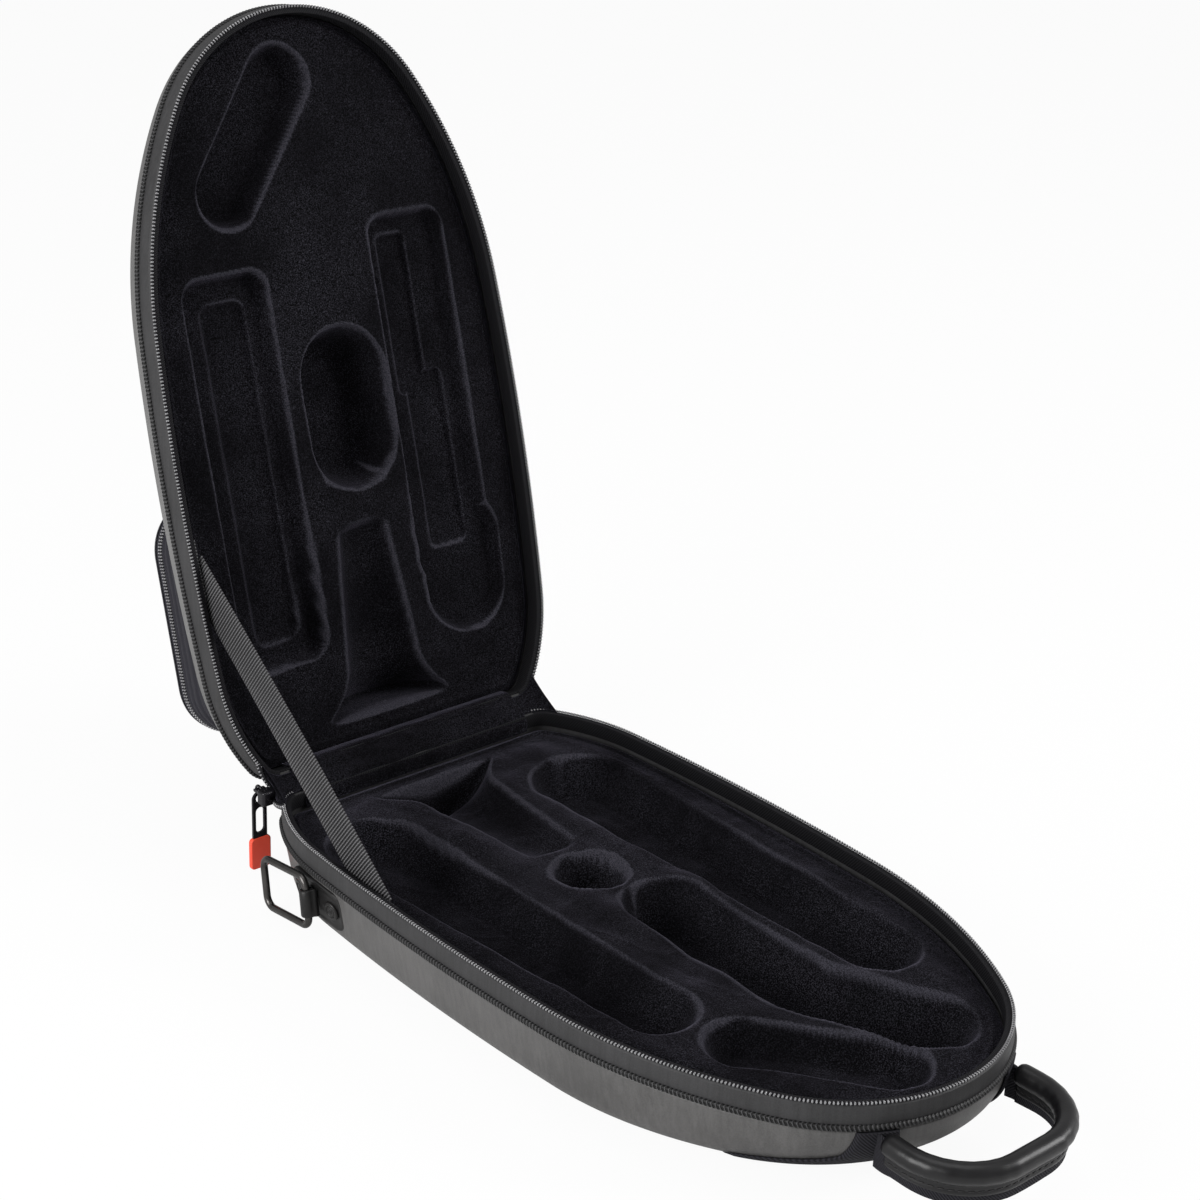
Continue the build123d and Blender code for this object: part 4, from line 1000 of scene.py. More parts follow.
def makeHingeGusset(name, hand):
    # A little fan of plush is pulled straight from rim to rim at each end of the hinge.
    # On the zip's side it also closes the corner behind the slider.
    shape = gussetShape
    outer = planOutline(shape["inset"])
    chosen = (outer[:, 0] > shape["inner"]) & (outer[:, 1] > hingeEdge - shape["deep"])
    share = np.linspace(0, 1, shape["rows"])[None, :, None]
    sides = []
    for inset in (shape["inset"], shape["inset"] + shape["thick"]):
        x, y = planOutline(inset)[chosen].T
        low = onBase(hand * x, y, shape["height"])[:, None]
        high = onLid(hand * x, y, shape["height"])[:, None]
        taut = low + (high - low) * share
        taut[..., 0] -= hand * shape["slack"] * np.sin(share[..., 0] * pi)
        if hand < 0:
            half = shape["rows"] // 2
            corner = np.concatenate([zipEndPath("base", half), zipEndPath("lid", half)[::-1]])
            corner[:, 0] += inset - shape["inset"] / 2
            steps = np.array([0.5, 1.0])[:, None, None] * shape["reach"]
            taut = np.concatenate([taut, taut[-1] + (corner - taut[-1]) * steps])
        sides.append(taut)
    grid = np.concatenate([sides[0], sides[1][:, ::-1]], 1)
    gusset = makeSwept(name, grid, False, finishes["plush"], None)
    low, high = sides[0][len(x) // 2, 0], sides[0][len(x) // 2, -1]
    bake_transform(gusset)
    span = float(np.linalg.norm(sides[0][:, -1] - sides[0][:, 0], axis=1).max())
    length = float(pathLength(sides[0][:, shape["rows"] // 2])[-1])
    surfaceArea(sides[0])
    return gusset


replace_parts(makeHingeCloth(), "hinge_fabric")
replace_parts(makeHingePlush(), "hinge_fabric")
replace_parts(makeHingeGusset("leftHingeGusset", -1), "hinge_fabric")
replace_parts(makeHingeGusset("rightHingeGusset", 1), "hinge_fabric")


def makeZipTail(where):
    # Where the coil leaves the rim's corner, a short end runs into the slider.
    shape, rim = tailShape, rimShape
    path = zipEndPath(where)
    across, upright = frames(path, (1, 0, 0))
    half, thin = shape["wide"] / 2, shape["thick"] / 2
    ring = roundedLoop([(-half, -thin), (half, -thin), (half, thin), (-half, thin)],
                       shape["round"], 3)
    grid = path[:, None] + across[:, None] * ring[:, :1] + upright[:, None] * ring[:, 1:]
    even = resample(path, rim["coilPitch"])
    across, upright = frames(even, (1, 0, 0))
    beads = stitchGrids(even - upright * thin, across, upright, rim["coilLong"], rim["coilThick"],
                        rim["coilTall"])
    pieces = [makeSwept(f"{where}ZipEndTape", grid, False, finishes["tape"], None),
              makeMany(f"{where}ZipEndCoil", list(beads), False, finishes["coil"], None)]
    for piece in pieces:
        if where == "lid":
            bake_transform(piece)
        else:
            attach(piece, "base")
    return pieces


for where in places:
    tape, coil = makeZipTail(where)
    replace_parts(tape, f"{where}_zip_tape")
    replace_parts(coil, f"{where}_zip_chain")


strapShape = dict(
    width=0.025, thick=0.0013, rib=0.0018, ribHigh=0.00022, foot=0.117, head=0.125, drop=0.012,
    sag=0.0015, sagDown=0.6, rows=1400, columns=13, ribLean=1.2, edgePower=6, edgeThin=0.7,
    tabInset=0.0047, tabThick=0.0012, tabTop=0.0025, tabLow=0.0098, tabLong=0.034,
    tabRound=0.0004, threadSet=0.0013, threadPitch=0.003, threadLong=0.0022,
    threadThick=0.0005, threadSunk=0.00005,
)


def makeStrap():
    # A flat ribbed strap from the base's padding to the lid's.  It sags by half a sine, and
    # its ribs are a sine of the distance walked.
    shape = strapShape
    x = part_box("stay_strap")[0].x + shape["thick"] / 2
    foot = onBase(x, hingeEdge - shape["foot"], shape["drop"])
    head = onLid(x, hingeEdge - shape["head"], shape["drop"])
    share = np.linspace(0, 1, shape["rows"])
    spine = foot + (head - foot) * share[:, None]
    spine[:, 0] += shape["sag"] * np.sin(share * pi)
    spine[:, 2] -= shape["sagDown"] * shape["sag"] * np.sin(share * pi)
    side = unit(np.cross(unit(head - foot), [1.0, 0.0, 0.0]))
    across = np.linspace(-0.5, 0.5, shape["columns"])
    walked = share * np.linalg.norm(head - foot)
    rib = shape["ribHigh"] * np.sin(walked[:, None] * 2 * pi / shape["rib"]
                                    + across * shape["ribLean"])
    edge = 1 - np.abs(2 * across) ** shape["edgePower"] * shape["edgeThin"]
    thick = ((shape["thick"] / 2 + rib) * edge)[..., None] * [1, 0, 0]
    flat = spine[:, None] + side * (across * shape["width"])[:, None]
    front, rear = flat + thick, flat - thick
    grid = np.concatenate([front, rear[:, ::-1]], 1)
    strap = makeSwept("stayStrap", grid, False, finishes["strap"], None)
    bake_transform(strap)
    return strap


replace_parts(makeStrap(), "stay_strap")


def makeStayTab(where, distance):
    # The strap's folded end lies flat on the binding, and two rows of thread hold it.
    shape = strapShape
    inset, low, high = shape["tabInset"], shape["tabTop"], shape["tabLow"]
    corners = [(inset, low), (inset + shape["tabThick"], low),
               (inset + shape["tabThick"], high), (inset, high)]
    middle = planOutline(inset)
    near = np.flatnonzero((middle[:, 0] < 0)
                          & (np.abs(middle[:, 1] - hingeEdge + distance) < shape["tabLong"] / 2))
    first, last = near.min(), near.max() + 1
    grid = rimLoopGrid(where, roundedLoop(corners, shape["tabRound"], 4), first, last)
    tab = makeSwept(f"{where}StayTab", grid, False, finishes["strap"], where)
    face = planOutline(inset + shape["tabThick"] - shape["threadSunk"])[first:last]
    line = resample(face, shape["threadPitch"])[1:-1]
    ahead = pathAhead(line)
    grids = []
    for height in (low + shape["threadSet"], high - shape["threadSet"]):
        middles = places[where](line[:, 0], line[:, 1], height)
        far = places[where](line[:, 0] + ahead[:, 0], line[:, 1] + ahead[:, 1], height)
        inwards = places[where](line[:, 0] - ahead[:, 1], line[:, 1] + ahead[:, 0], height)
        grids += list(stitchGrids(middles, far - middles, middles - inwards,
                                  shape["threadLong"], shape["threadThick"]))
    makeMany(f"{where}StayThread", grids, False, finishes["thread"], where)
    return tab


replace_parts(makeStayTab("base", strapShape["foot"]), "base_stay_tab")
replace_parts(makeStayTab("lid", strapShape["head"]), "lid_stay_tab")
print("hinge cloth and strap made")


# Heights stand over the lid's rim; insets run in from the pocket's rounded rectangle.
pocketShape = dict(
    half=0.097, start=0.017, length=0.136, corner=0.030, face=0.048, top=0.079, coverDepth=0.0086,
    chainHigh=0.0017, wall=0.0045, rounding=0.0055, swell=0.0022, swellWide=0.04, count=260,
    leastCorner=0.001, cornerSteps=24, fineCount=1200,
    edgeRows=10, faceRows=24, faceFrom=0.058, faceTo=0.001, inside=0.060, insideHigh=0.0045,
    sideWeave=0.7,  # how far the weave slides along a side with its depth
    pitch=0.0018, toothInset=0.0001, toothLong=0.0017, toothThick=0.0011, toothTall=1.35,
    toothHigh=0.00085, rowGap=0.002, chainEnd=0.008, chainSlack=0.002, tapeThick=0.0008,
    tapeReach=0.004, tapeShort=0.0016, tapeOff=0.0001, tapeRows=24, tapeColumns=40,
    grooves=(0.30, 0.62, 0.90), grooveWide=0.055, grooveDeep=0.0012, belly=0.0007,
    sideSunk=0.012, sideInner=0.006, sideRows=40,
)
pocketTop = pocketShape["top"] - pocketShape["coverDepth"]
gussetTop = pocketTop - 2 * pocketShape["chainHigh"] - seatGap
# The cover's hem over the zip: (inset, height over the cover's lower edge).
pocketHem = [(0.0, 0.0022), (0.0003, 0.0017), (0.0, 0.0011), (0.0004, 0.0),
             (pocketShape["wall"], 0.0), (pocketShape["wall"] + 0.001, 0.004)]


def pocketLoop(inset, count=pocketShape["count"]):
    # The pocket's rounded rectangle in the lid's plan, moved in by inset.
    shape = pocketShape
    y1 = hingeEdge - shape["start"] - inset
    y0 = hingeEdge - shape["start"] - shape["length"] + inset
    x1 = shape["half"] - inset
    loop = roundedLoop([(-x1, y1), (x1, y1), (x1, y0), (-x1, y0)],
                       max(shape["corner"] - inset, shape["leastCorner"]),
                       shape["cornerSteps"])
    closed = np.concatenate([loop, loop[:1]])
    walked = pathLength(closed)
    wanted = np.linspace(0, walked[-1], count, endpoint=False)
    return np.stack([np.interp(wanted, walked, closed[:, k]) for k in range(2)], 1)


def pocketRings(profile):
    # Each (inset, height) of the profile is carried round the pocket.
    return np.array([onLid(*pocketLoop(inset).T, height) for inset, height in profile])


def makePocketCover():
    # A padded face that swells a little, a rounded edge with a welt, and a hem to the zip.
    shape = pocketShape
    rounding = shape["rounding"]
    turn = np.linspace(pi / 2, 0, shape["edgeRows"])
    edge = [(rounding * (1 - sin(t)), shape["top"] - rounding * (1 - cos(t))) for t in turn]
    face = [(rounding + gap, shape["top"] + shape["swell"] * float(ease(gap / shape["swellWide"])))
            for gap in np.linspace(shape["faceFrom"], shape["faceTo"], shape["faceRows"])]
    hem = [(inset, pocketTop + height) for inset, height in pocketHem]
    profile = face + edge + hem + [(shape["inside"], pocketTop + shape["insideHigh"])]
    cover = makeSwept("pocketCover", pocketRings(profile), False, finishes["pocket"],
                      "pocket_flap")
    # The weave runs straight over the face, and down the edges with the depth.
    flat = np.concatenate([pocketLoop(inset) + [shape["sideWeave"] * height, height]
                           for inset, height in profile])
    corners = np.zeros(len(cover.data.loops), "i")
    cover.data.loops.foreach_get("vertex_index", corners)
    cover.data.uv_layers["cloth"].data.foreach_set("uv", flat[corners].astype("f").ravel())
    return cover


def makePocketGusset():
    # The side wall stands on the lid, with stitched grooves round a slightly swollen face.
    shape = pocketShape
    heights = np.linspace(shape["face"] - shape["sideSunk"], gussetTop, shape["sideRows"])
    rise = (heights - shape["face"]) / (gussetTop - shape["face"])
    groove = sum(np.exp(-((rise - at) / shape["grooveWide"]) ** 2) for at in shape["grooves"])
    groove = groove * shape["grooveDeep"]
    belly = shape["belly"] * np.sin(np.clip(rise, 0, 1) * pi)
    outer = list(zip(groove - belly, heights))
    inner = [(shape["wall"], gussetTop), (shape["wall"], shape["face"] - shape["sideInner"])]
    grid = pocketRings(outer + inner).swapaxes(0, 1)
    return makeSwept("pocketGusset", grid, True, finishes["pocket"], "lid")


def makePocketCoil(name, body, height):
    # Teeth stand round the pocket, except along its hinge side.
    shape = pocketShape
    loop = pocketLoop(shape["toothInset"], shape["fineCount"])
    side = shape["half"] - shape["corner"] + shape["chainEnd"]
    hinged = hingeEdge - shape["start"] - shape["chainSlack"]
    hidden = (np.abs(loop[:, 0]) < side) & (loop[:, 1] > hinged)
    start = np.argmax(hidden & ~np.roll(hidden, -1)) + 1
    line = resample(np.roll(loop, -start, 0)[:len(loop) - hidden.sum()], shape["pitch"])
    grids = teethGrids(onLid, line, height, shape["toothLong"], shape["toothThick"],
                       shape["toothTall"])
    return makeMany(name, grids, False, finishes["coil"], body)


def makePocketTape():
    # The cloth hinge along the pocket's lower edge.
    shape = pocketShape
    reach = shape["half"] - shape["corner"] - shape["tapeShort"]
    heights = np.linspace(gussetTop - shape["tapeReach"],
                          pocketTop + shape["tapeReach"] - seatGap, shape["tapeRows"])
    y = hingeEdge - shape["start"] + seatGap / 2
    ring = np.concatenate([
        np.stack(np.broadcast_arrays(y + shape["tapeOff"], heights), 1),
        np.stack(np.broadcast_arrays(y + shape["tapeThick"], heights[::-1]), 1)])
    x = np.linspace(-reach, reach, shape["tapeColumns"])
    grid = onLid(x[:, None], ring[None, :, 0], ring[None, :, 1])
    tape = makeSwept("pocketTape", grid, False, finishes["tape"], None)
    asPoint(onLid(0.0, y, gussetTop))
    asPoint(onLid(0.0, y, pocketTop))
    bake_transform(tape)
    return tape


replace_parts(makePocketCover(), "pocket_cover")
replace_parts(makePocketGusset(), "pocket_gusset")
outerRow = pocketTop - pocketShape["toothHigh"]
innerRow = outerRow - pocketShape["rowGap"]
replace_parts(makePocketCoil("pocketOuterCoil", "pocket_flap", outerRow), "pocket_outer_chain")
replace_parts(makePocketCoil("pocketInnerCoil", "lid", innerRow), "pocket_inner_chain")
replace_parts(makePocketTape(), "pocket_hinge_tape")
print("pocket made")


plateShape = dict(
    long=0.046, high=0.024, thick=0.0024, corner=0.007, set=0.064, drop=0.029, edge=0.0009,
    edgeRows=5, border=0.0022, bevel=0.0006, dish=0.00025, faceRows=9, pole=0.05, sides=9,
    wire=0.002, bore=0.00206, wall=0.0018, foot=0.0012, toe=0.0016, open=0.32, mouth=0.6,
    knuckleHalf=0.0077, knuckleSides=19, boreSides=21, droop=radians(9), rivetSet=0.0143,
    rivetSides=36, rivetPole=0.00002, noseStep=0.001,
)
# Stations along a knuckle as shares of half its length, and how far its skin is drawn in.
knuckleEnds = dict(share=(-1.0, -0.97, -0.9, -0.3, 0.3, 0.9, 0.97, 1.0),
                   inset=(0.0009, 0.0004, 0.0, 0.0, 0.0, 0.0, 0.0004, 0.0009))
plateHeading = acos((hingeEdge - plateShape["set"] - cornerY) / cornerRadius)
# Rivet cap from its middle out: (radius, height over the plate).
rivetProfile = [(0.0, 0.00105), (0.0026, 0.00105), (0.0029, 0.00095), (0.00305, 0.0007),
                (0.0033, 0.00068), (0.0035, 0.0009), (0.0038, 0.00115), (0.0046, 0.00115),
                (0.0051, 0.00095), (0.0054, 0.0005), (0.0054, -0.0008), (0.0, -0.0008)]


def onCorner(hand, along, depth, out):
    # A place on the base's corner wall: along runs towards the nose from the plate's middle.
    heading = plateHeading + along / cornerRadius
    fall = (depth - baseForm["band"]) / (baseForm["depth"] - baseForm["band"])
    reach = cornerRadius + out - baseForm["draft"] * fall
    return np.stack(np.broadcast_arrays(
        hand * (cornerX + reach * np.sin(heading)), cornerY + reach * np.cos(heading),
        rimHeight - depth), -1)


def makePlate(name, hand):
    # A rounded rectangle with a soft edge, a raised border and a shallow dish inside it.
    shape = plateShape
    top = seatGap + shape["thick"]
    rows = [(0.0, seatGap)]
    rows += [(shape["edge"] * (1 - cos(t)), top - shape["edge"] * (1 - sin(t)))
             for t in np.linspace(0, pi / 2, shape["edgeRows"])]
    rows += [(shape["border"], top), (shape["border"] + shape["bevel"], top - shape["dish"])]
    rings = []
    for inset, out in rows:
        x, y = shape["long"] / 2 - inset, shape["high"] / 2 - inset
        loop = roundedLoop([(-x, -y), (x, -y), (x, y), (-x, y)], shape["corner"] - inset,
                           shape["sides"])
        rings.append((loop, out))
    last, out = rings[-1]
    shares = np.linspace(1, shape["pole"], shape["faceRows"])[1:]
    rings += [(last * share, out) for share in shares]
    rings.append((last * shape["pole"], seatGap))
    grid = np.array([onCorner(hand, loop[:, 0], shape["drop"] - loop[:, 1], out)
                     for loop, out in rings])
    return makeSwept(name, grid, False, finishes["plate"], "base")


def plateFrame(hand, along):
    # Place, outward direction and direction towards the nose on the plate's outer face.
    shape = plateShape
    here = onCorner(hand, along, shape["drop"], seatGap + shape["thick"])
    out = onCorner(hand, along, shape["drop"], 1.0) - here
    out[2] -= baseForm["draft"] / (baseForm["depth"] - baseForm["band"])
    out = unit(out)
    nose = onCorner(hand, along + shape["noseStep"], shape["drop"],
                    seatGap + shape["thick"]) - here
    return here, out, unit(nose - out * (nose @ out))


def makeKnuckle(name, hand):
    # A saddle over the ring's leg, open along its foot.
    shape = plateShape
    outer, bore = shape["bore"] + shape["wall"], shape["bore"]
    top = np.linspace(0, pi, shape["knuckleSides"])
    hole = np.linspace(-shape["open"] * pi, (1 + shape["open"]) * pi, shape["boreSides"])[::-1]
    profile = np.concatenate([
        [(outer + shape["foot"], -outer), (outer, -outer + shape["toe"])],
        np.stack([outer * np.cos(top), outer * np.sin(top)], 1),
        [(-outer, -outer + shape["toe"]), (-outer - shape["foot"], -outer),
         (-bore * shape["mouth"], -outer)],
        np.stack([bore * np.cos(hole), bore * np.sin(hole)], 1),
        [(bore * shape["mouth"], -outer)]])
    heading = plateHeading
    out = np.array([hand * sin(heading), cos(heading), 0.0])
    nose = np.array([hand * cos(heading), -sin(heading), 0.0])
    wall = np.array([hand * (cornerX + cornerRadius * sin(heading)),
                     cornerY + cornerRadius * cos(heading), rimHeight - shape["drop"]])
    middle = wall + out * (2 * seatGap + shape["thick"] + shape["wire"])
    axis = np.array([0, 0, cos(shape["droop"])]) - nose * sin(shape["droop"])
    across = np.cross(out, axis)
    share, inset = np.array(knuckleEnds["share"]), np.array(knuckleEnds["inset"])
    solid = np.ones(len(profile))
    solid[-len(hole) - 1:-1] = 0  # the bore keeps its size
    scale = 1 - inset[:, None] / outer * solid
    grid = (middle + axis * (share * shape["knuckleHalf"])[:, None, None]
            + across * (profile[:, 0] * scale)[..., None]
            + out * (profile[:, 1] * scale)[..., None])
    return makeSwept(name, grid, False, finishes["plate"], "base")


def makeRivets(name, hand):
    # The profile turns about the plate's normal.
    profile = np.array(rivetProfile)
    turn = np.linspace(0, 2 * pi, plateShape["rivetSides"], endpoint=False)
    grids = []
    for along in (plateShape["rivetSet"], -plateShape["rivetSet"]):
        here, out, nose = plateFrame(hand, along)
        side = np.cross(out, nose)
        spoke = nose * np.cos(turn)[:, None] + side * np.sin(turn)[:, None]
        radius = np.maximum(profile[:, 0], plateShape["rivetPole"])
        grids.append(here + spoke[:, None] * radius[None, :, None]
                     + out * profile[:, 1][None, :, None])
    return makeMany(name, grids, True, finishes["rivet"], "base")


hands = (("left", -1), ("right", 1))
for side, hand in hands:
    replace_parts(makePlate(f"{side}Plate", hand), f"{side}_ring_plate")
    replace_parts(makeKnuckle(f"{side}Knuckle", hand), f"{side}_ring_plate")
    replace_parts(makeRivets(f"{side}Rivets", hand), f"{side}_plate_rivets")
print("ring plates made")


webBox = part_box("handle_web")
handleShape = dict(
    halfWidth=0.045, splay=0.0015, corner=0.034, cornerSteps=24, step=0.0014, roll=0.0055,
    rollSides=22,
    apron=0.005, apronHalf=0.0023, drop=0.029, closeIn=0.16, closeLong=0.002, pucker=0.022,
    puckerPitch=0.0075, puckerAbove=-0.0052, stitchPitch=0.0042, stitchLong=0.003,
    stitchThick=0.0007, stitchDrop=0.0078, stitchOut=0.0022, stitchLean=0.12,
    web=0.003, webHigh=0.005, webInto=0.002, webRound=0.0007, wave=0.0003, waveTurn=0.21,
    tabTop=0.0153, tabLow=0.0445, tabThick=0.0017, tabRows=34, tabColumns=30, tabEdge=0.0009,
    tabEdgeThick=0.4, tabHalf=0.0085, tabFlare=0.004, wing=0.024, wingFrom=0.5,
    loopTop=0.0155, loopLow=0.0345, loopSunk=0.0008, loopInto=0.006, loopTaper=0.0035,
    loopRise=0.2, loopThin=0.75, loopSwell=0.1, loopRound=0.0008, loopRows=20,
)
# Half of the apron below the roll, with the groove of its seam: (outwards, up from the roll).
apronProfile = [(0.0021, -0.0056), (0.0022, -0.0064), (0.0023, -0.0071), (0.00205, -0.00765),
                (0.00205, -0.00795), (0.00235, -0.0084), (0.0024, -0.0094), (0.0023, -0.0102),
                (0.0018, -0.0105)]


def handlePath(step):
    # Two legs and a bar with large round corners, seen from above.
    shape = handleShape
    front = webBox[0].y + shape["web"] / 2
    wide = shape["halfWidth"] + shape["splay"]
    corners = [(-shape["halfWidth"], webBox[1].y), (-wide, front), (wide, front),
               (shape["halfWidth"], webBox[1].y)]
    return resample(roundedPath(corners, shape["corner"], shape["cornerSteps"]), step)


def alongHandle(step):
    # The handle's path with its forward and outward directions.
    path = handlePath(step)
    ahead = pathAhead(path)
    return path, ahead, np.stack([ahead[:, 1], -ahead[:, 0]], 1)


def handleGrid(path, outwards, across, height):
    # A ring at each station: across along the outward direction, height straight up.
    flat = path[:, None] + outwards[:, None] * across[..., None]
    return np.concatenate([flat, np.broadcast_to(height, across.shape)[..., None]], -1)


def makeGrip():
    # A leather roll over a sewn apron.  Its width ripples with a sine of the distance
    # walked, times how sharply the path bends there.
    shape = handleShape
    rollHeight = rimHeight - shape["drop"] + shape["roll"] + shape["apron"]
    neck = np.arcsin(shape["apronHalf"] / shape["roll"])
    turn = np.linspace(pi / 2, -pi / 2 + neck, shape["rollSides"])
    half = np.concatenate([
        np.stack([shape["roll"] * np.cos(turn), shape["roll"] * np.sin(turn)], 1), apronProfile])
    profile = np.concatenate([half, half[::-1] * [-1, 1]])
    path, ahead, outwards = alongHandle(shape["step"])
    walked = np.arange(len(path)) * shape["step"]
    ends = np.minimum(walked, walked[-1] - walked)
    close = 1 - shape["closeIn"] * (1 - ease(ends / shape["closeLong"]))
    bend = np.abs(np.gradient(np.unwrap(np.arctan2(ahead[:, 1], ahead[:, 0]))))
    ripple = np.sin(walked * 2 * pi / shape["puckerPitch"]) * bend / bend.max()
    pucker = 1 + shape["pucker"] * ripple[:, None] * (profile[:, 1] > shape["puckerAbove"])
    grid = handleGrid(path, outwards, profile[:, 0] * close[:, None] * pucker,
                      rollHeight + profile[:, 1] * close[:, None])
    grip = makeSwept("gripLeather", grid, False, finishes["leather"], "handle")
    path, ahead, outwards = (part[1:-1] for part in alongHandle(shape["stitchPitch"]))
    grids = []
    for hand in (-1, 1):
        middles, lean, out = (
            np.concatenate([flat, np.full((len(path), 1), upright)], 1) for flat, upright in (
                (path + outwards * hand * shape["stitchOut"], rollHeight - shape["stitchDrop"]),
                (ahead, shape["stitchLean"]), (outwards * hand, 0.0)))
        grids += list(stitchGrids(middles, lean, out, shape["stitchLong"], shape["stitchThick"]))
    makeMany("gripStitches", grids, False, finishes["thread"], "handle")
    return grip


def makeHandleWeb():
    # The webbing between the apron's two skins shows below them.
    shape = handleShape
    low, high = rimHeight - shape["drop"] - shape["webHigh"], rimHeight - shape["drop"]
    half, top = shape["web"] / 2, high + shape["webInto"]
    profile = roundedLoop([(-half, low), (half, low), (half, top), (-half, top)],
                          shape["webRound"], 4)
    path, _, outwards = alongHandle(shape["step"])
    wave = shape["wave"] * np.sin(np.arange(len(path)) * shape["waveTurn"])[:, None]
    across = np.broadcast_to(profile[:, 0], (len(path), len(profile)))
    grid = handleGrid(path, outwards, across, profile[:, 1] + wave * (profile[:, 1] < high))
    return makeSwept("handleWebbing", grid, False, finishes["handleWeb"], "handle")


def noseWall(x, depth, out):
    # How far forward the base's wall stands at x, at a depth below the rim.
    outline = shellOutline(baseForm, depth, -out)
    front = outline[outline[:, 1] < 0]
    front = front[np.argsort(front[:, 0])]
    return np.interp(x, front[:, 0], front[:, 1])


def makeHandleTab(name, hand):
    # Webbing from the band's seam down the nose; its foot widens sideways under the curve.
    shape = handleShape
    rows = []
    for share in np.linspace(0, 1, shape["tabRows"]):
        depth = shape["tabTop"] + (shape["tabLow"] - shape["tabTop"]) * share
        flare = shape["tabFlare"] * share
        wing = shape["wing"] * float(ease((share - shape["wingFrom"]) / (1 - shape["wingFrom"])))
        x = np.linspace(shape["halfWidth"] - shape["tabHalf"] - flare,
                        shape["halfWidth"] + shape["tabHalf"] + flare + wing,
                        shape["tabColumns"])
        fromEdge = np.minimum(x - x[0], x[-1] - x)
        soft = np.sqrt(np.clip(fromEdge / shape["tabEdge"], 0, 1))
        soft = soft * (1 - shape["tabEdgeThick"]) + shape["tabEdgeThick"]
        out = seatGap + shape["tabThick"] * soft
        outer = [noseWall(a, depth, b) for a, b in zip(x, out)]
        inner = noseWall(x, depth, seatGap)
        ring = np.concatenate([np.stack([x, outer], 1), np.stack([x, inner], 1)[::-1]])
        rows.append(np.stack([hand * ring[:, 0], ring[:, 1],
                              np.full(len(ring), rimHeight - depth)], 1))
    return makeSwept(name, np.array(rows), False, finishes["handleWeb"], "base")


def makeHandleLoop(name, hand):
    # The webbing comes out of the tab and goes into the grip's end.
    shape = handleShape
    depth = (shape["loopTop"] + shape["loopLow"]) / 2
    start = noseWall(shape["halfWidth"], depth, seatGap + shape["tabThick"]) + shape["loopSunk"]
    end = webBox[1].y - shape["loopInto"]
    rows = []
    for share in np.linspace(0, 1, shape["loopRows"]):
        top = rimHeight - shape["loopTop"] - share * shape["loopTaper"]
        low = rimHeight - shape["loopLow"] + share * shape["loopTaper"] * shape["loopRise"]
        half = shape["web"] / 2 * (shape["loopThin"] + shape["loopSwell"] * share)
        loop = roundedLoop([(-half, low), (half, low), (half, top), (-half, top)],
                           shape["loopRound"], 4)
        lean = shape["loopSunk"] * sin(pi * share)
        rows.append(np.stack([hand * (shape["halfWidth"] + loop[:, 0] + lean),
                              np.full(len(loop), start + (end - start) * share), loop[:, 1]], 1))
    piece = makeSwept(name, np.array(rows), False, finishes["handleWeb"], None)
    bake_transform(piece)
    return piece


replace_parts(makeGrip(), "handle_grip")
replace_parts(makeHandleWeb(), "handle_web")
for side, hand in hands:
    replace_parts(makeHandleLoop(f"{side}HandleLoop", hand), "handle_web")
for side, hand in hands:
    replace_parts(makeHandleTab(f"{side}HandleTab", hand), f"{side}_handle_tab")
print("handle made")


# Metal and rubber pieces of the frame keep their shape and get a finish.
nodeFinishes = dict(
    zip_slider="slider", pull_ring="slider", zip_pull="slider", pull_tag="tag",
    pocket_slider="slider", pocket_pull="slider", left_strap_ring="ring", right_strap_ring="ring",
)
for node, finish in nodeFinishes.items():
    mesh = frame["nodes"][node].data
    mesh.materials.clear()
    mesh.materials.append(finishes[finish])


roomShape = dict(
    floorHalf=6.0, floorGrey=0.86, floorRough=0.8, floorGlow=0.94,
    fill=0.32,  # the room's own light on the object; seen directly it is white
    shine=0.5,  # what shiny pieces reflect of it
)


def makeStage():
    # A pale floor that keeps the object's shadow; the camera sees it nearly white.
    shape = roomShape
    floor = Finish("floorPale", Base_Color=grey(shape["floorGrey"], (1, 1, 1)),
                   Roughness=shape["floorRough"])
    mesh = bpy.data.meshes.new("floor")
    half = shape["floorHalf"]
    mesh.from_pydata([(-half, -half, 0), (half, -half, 0), (half, half, 0), (-half, half, 0)], [],
                     [(0, 1, 2, 3)])
    mesh.materials.append(floor.material)
    piece = bpy.data.objects.new("floor", mesh)
    bpy.context.scene.collection.objects.link(piece)
    seen = floor.add("ShaderNodeLightPath")
    glow = floor.add("ShaderNodeEmission", {}, {"Color": (1, 1, 1, 1)})
    mixed = floor.add("ShaderNodeMixShader", {}, {
        0: seen * shape["floorGlow"], 1: floor.shader, 2: glow})
    floor.tree.links.new(mixed.socket, floor.output.inputs["Surface"])


def makeWorld():
    # Dim light from all around, but white where it is seen directly or through something.
    world = bpy.data.worlds.new("room")
    world.use_nodes = True
    tree = world.node_tree
    tree.nodes.clear()
    fill, shine = roomShape["fill"], roomShape["shine"]
    path = addNode(tree, "ShaderNodeLightPath").socket.node
    seen, shiny, through = (Wire(tree, path.outputs[f"Is {kind} Ray"])
                            for kind in ("Camera", "Glossy", "Transmission"))
    glow = seen.most(through) * (1 - fill) + shiny * (shine - fill) + fill
    back = addNode(tree, "ShaderNodeBackground", {}, {"Color": (1, 1, 1, 1), "Strength": glow})
    addNode(tree, "ShaderNodeOutputWorld", {}, {"Surface": back})
    bpy.context.scene.world = world


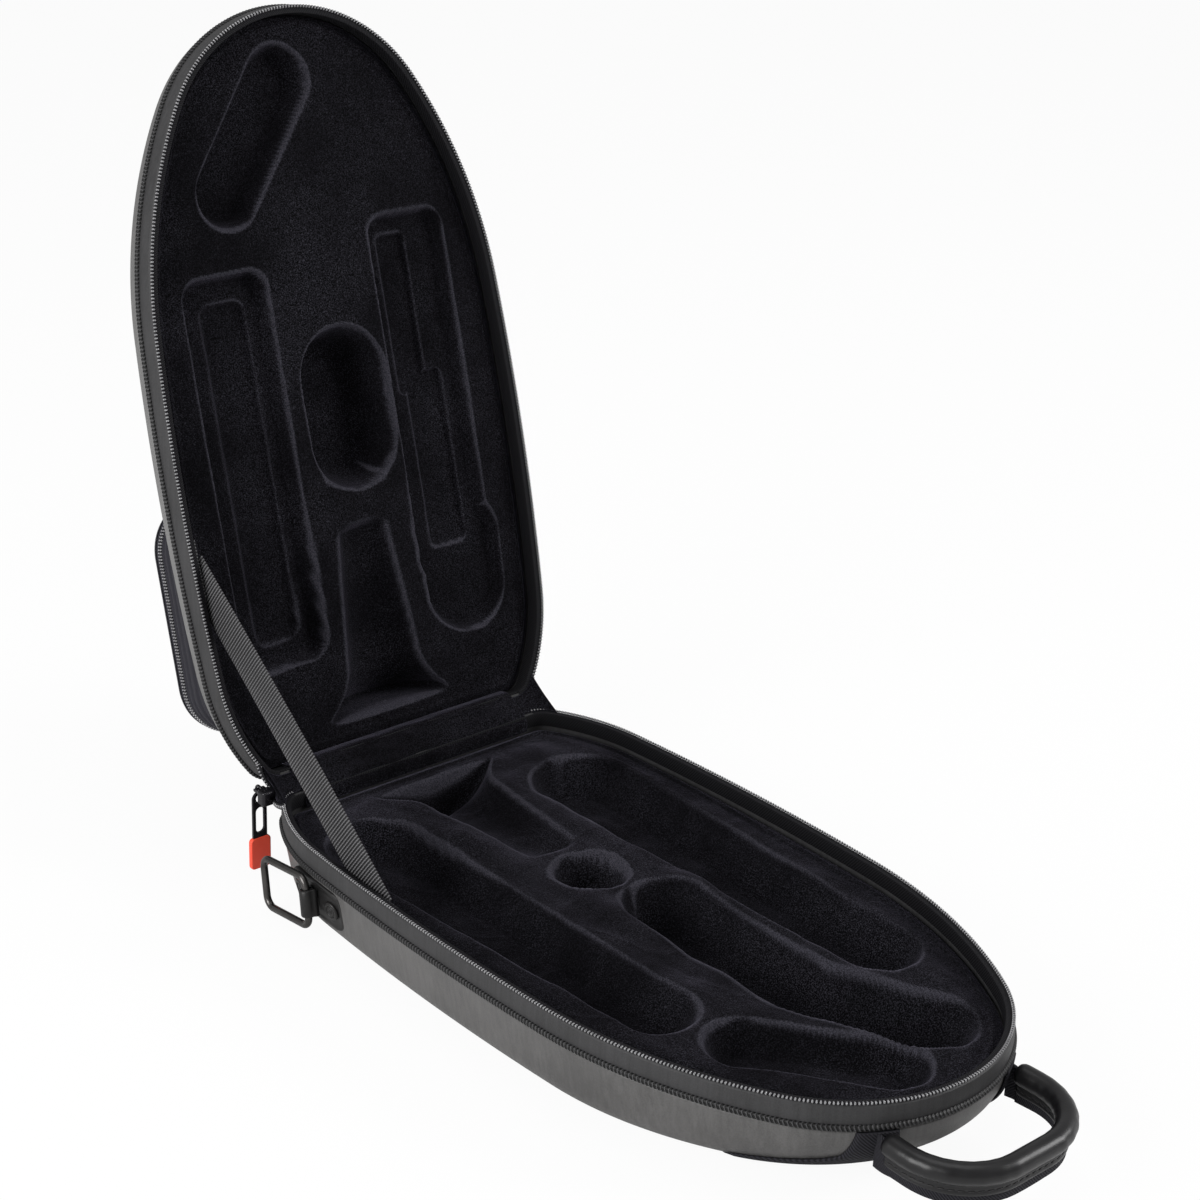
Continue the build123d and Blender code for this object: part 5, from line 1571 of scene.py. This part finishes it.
def addLamp(name, spot, target, size, power):
    # A soft box at spot that faces target.
    lamp = bpy.data.lights.new(name, "AREA")
    lamp.shape = "RECTANGLE"
    lamp.size, lamp.size_y = size
    lamp.energy = power
    holder = bpy.data.objects.new(name, lamp)
    holder.location = spot
    holder.rotation_euler = (Vector(target) - Vector(spot)).to_track_quat("-Z", "Y").to_euler()
    bpy.context.scene.collection.objects.link(holder)


# Focal length and centre are in pixels of a frame this wide; angles are in radians.
cameraShape = dict(azimuth=-0.704, elevation=0.395, roll=0.028, place=(-0.7779, -0.8056, 0.6986),
                   focal=2511.0, centerX=528.9, centerY=565.4, frame=1200.0, sensor=36.0,
                   near=0.01, far=50.0)


def makeCamera():
    # It stands left of the front, looks down and is rolled a little.
    view = cameraShape
    azimuth, elevation = view["azimuth"], view["elevation"]
    back = Vector((sin(azimuth) * cos(elevation), -cos(azimuth) * cos(elevation), sin(elevation)))
    right = Vector((0, 0, 1)).cross(back).normalized()
    up = back.cross(right)
    c, s = cos(view["roll"]), sin(view["roll"])
    right, up = right * c + up * s, up * c - right * s
    data = bpy.data.cameras.new("camera")
    data.sensor_width = view["sensor"]
    data.lens = view["focal"] / view["frame"] * data.sensor_width
    data.shift_x = 0.5 - view["centerX"] / view["frame"]
    data.shift_y = view["centerY"] / view["frame"] - 0.5
    data.clip_start, data.clip_end = view["near"], view["far"]
    camera = bpy.data.objects.new("camera", data)
    turned = Matrix((right, up, back)).transposed().to_4x4()
    camera.matrix_world = Matrix.Translation(view["place"]) @ turned
    bpy.context.scene.collection.objects.link(camera)
    bpy.context.scene.camera = camera


makeStage()
makeWorld()
# Each lamp's place, what it faces, its size and its power in watts.
addLamp("keyLeft", (-1.8, 0.1, 0.9), (0, 0, 0.15), (1.2, 1.0), 33)
addLamp("topSoft", (0.1, 0.1, 2.2), (0, 0, 0.1), (1.4, 1.4), 11)
addLamp("frontRight", (1.5, -1.15, 1.15), (0, 0.1, 0.3), (0.8, 0.8), 27)
makeCamera()
bpy.context.scene.view_settings.view_transform = "Standard"
print("stage made")
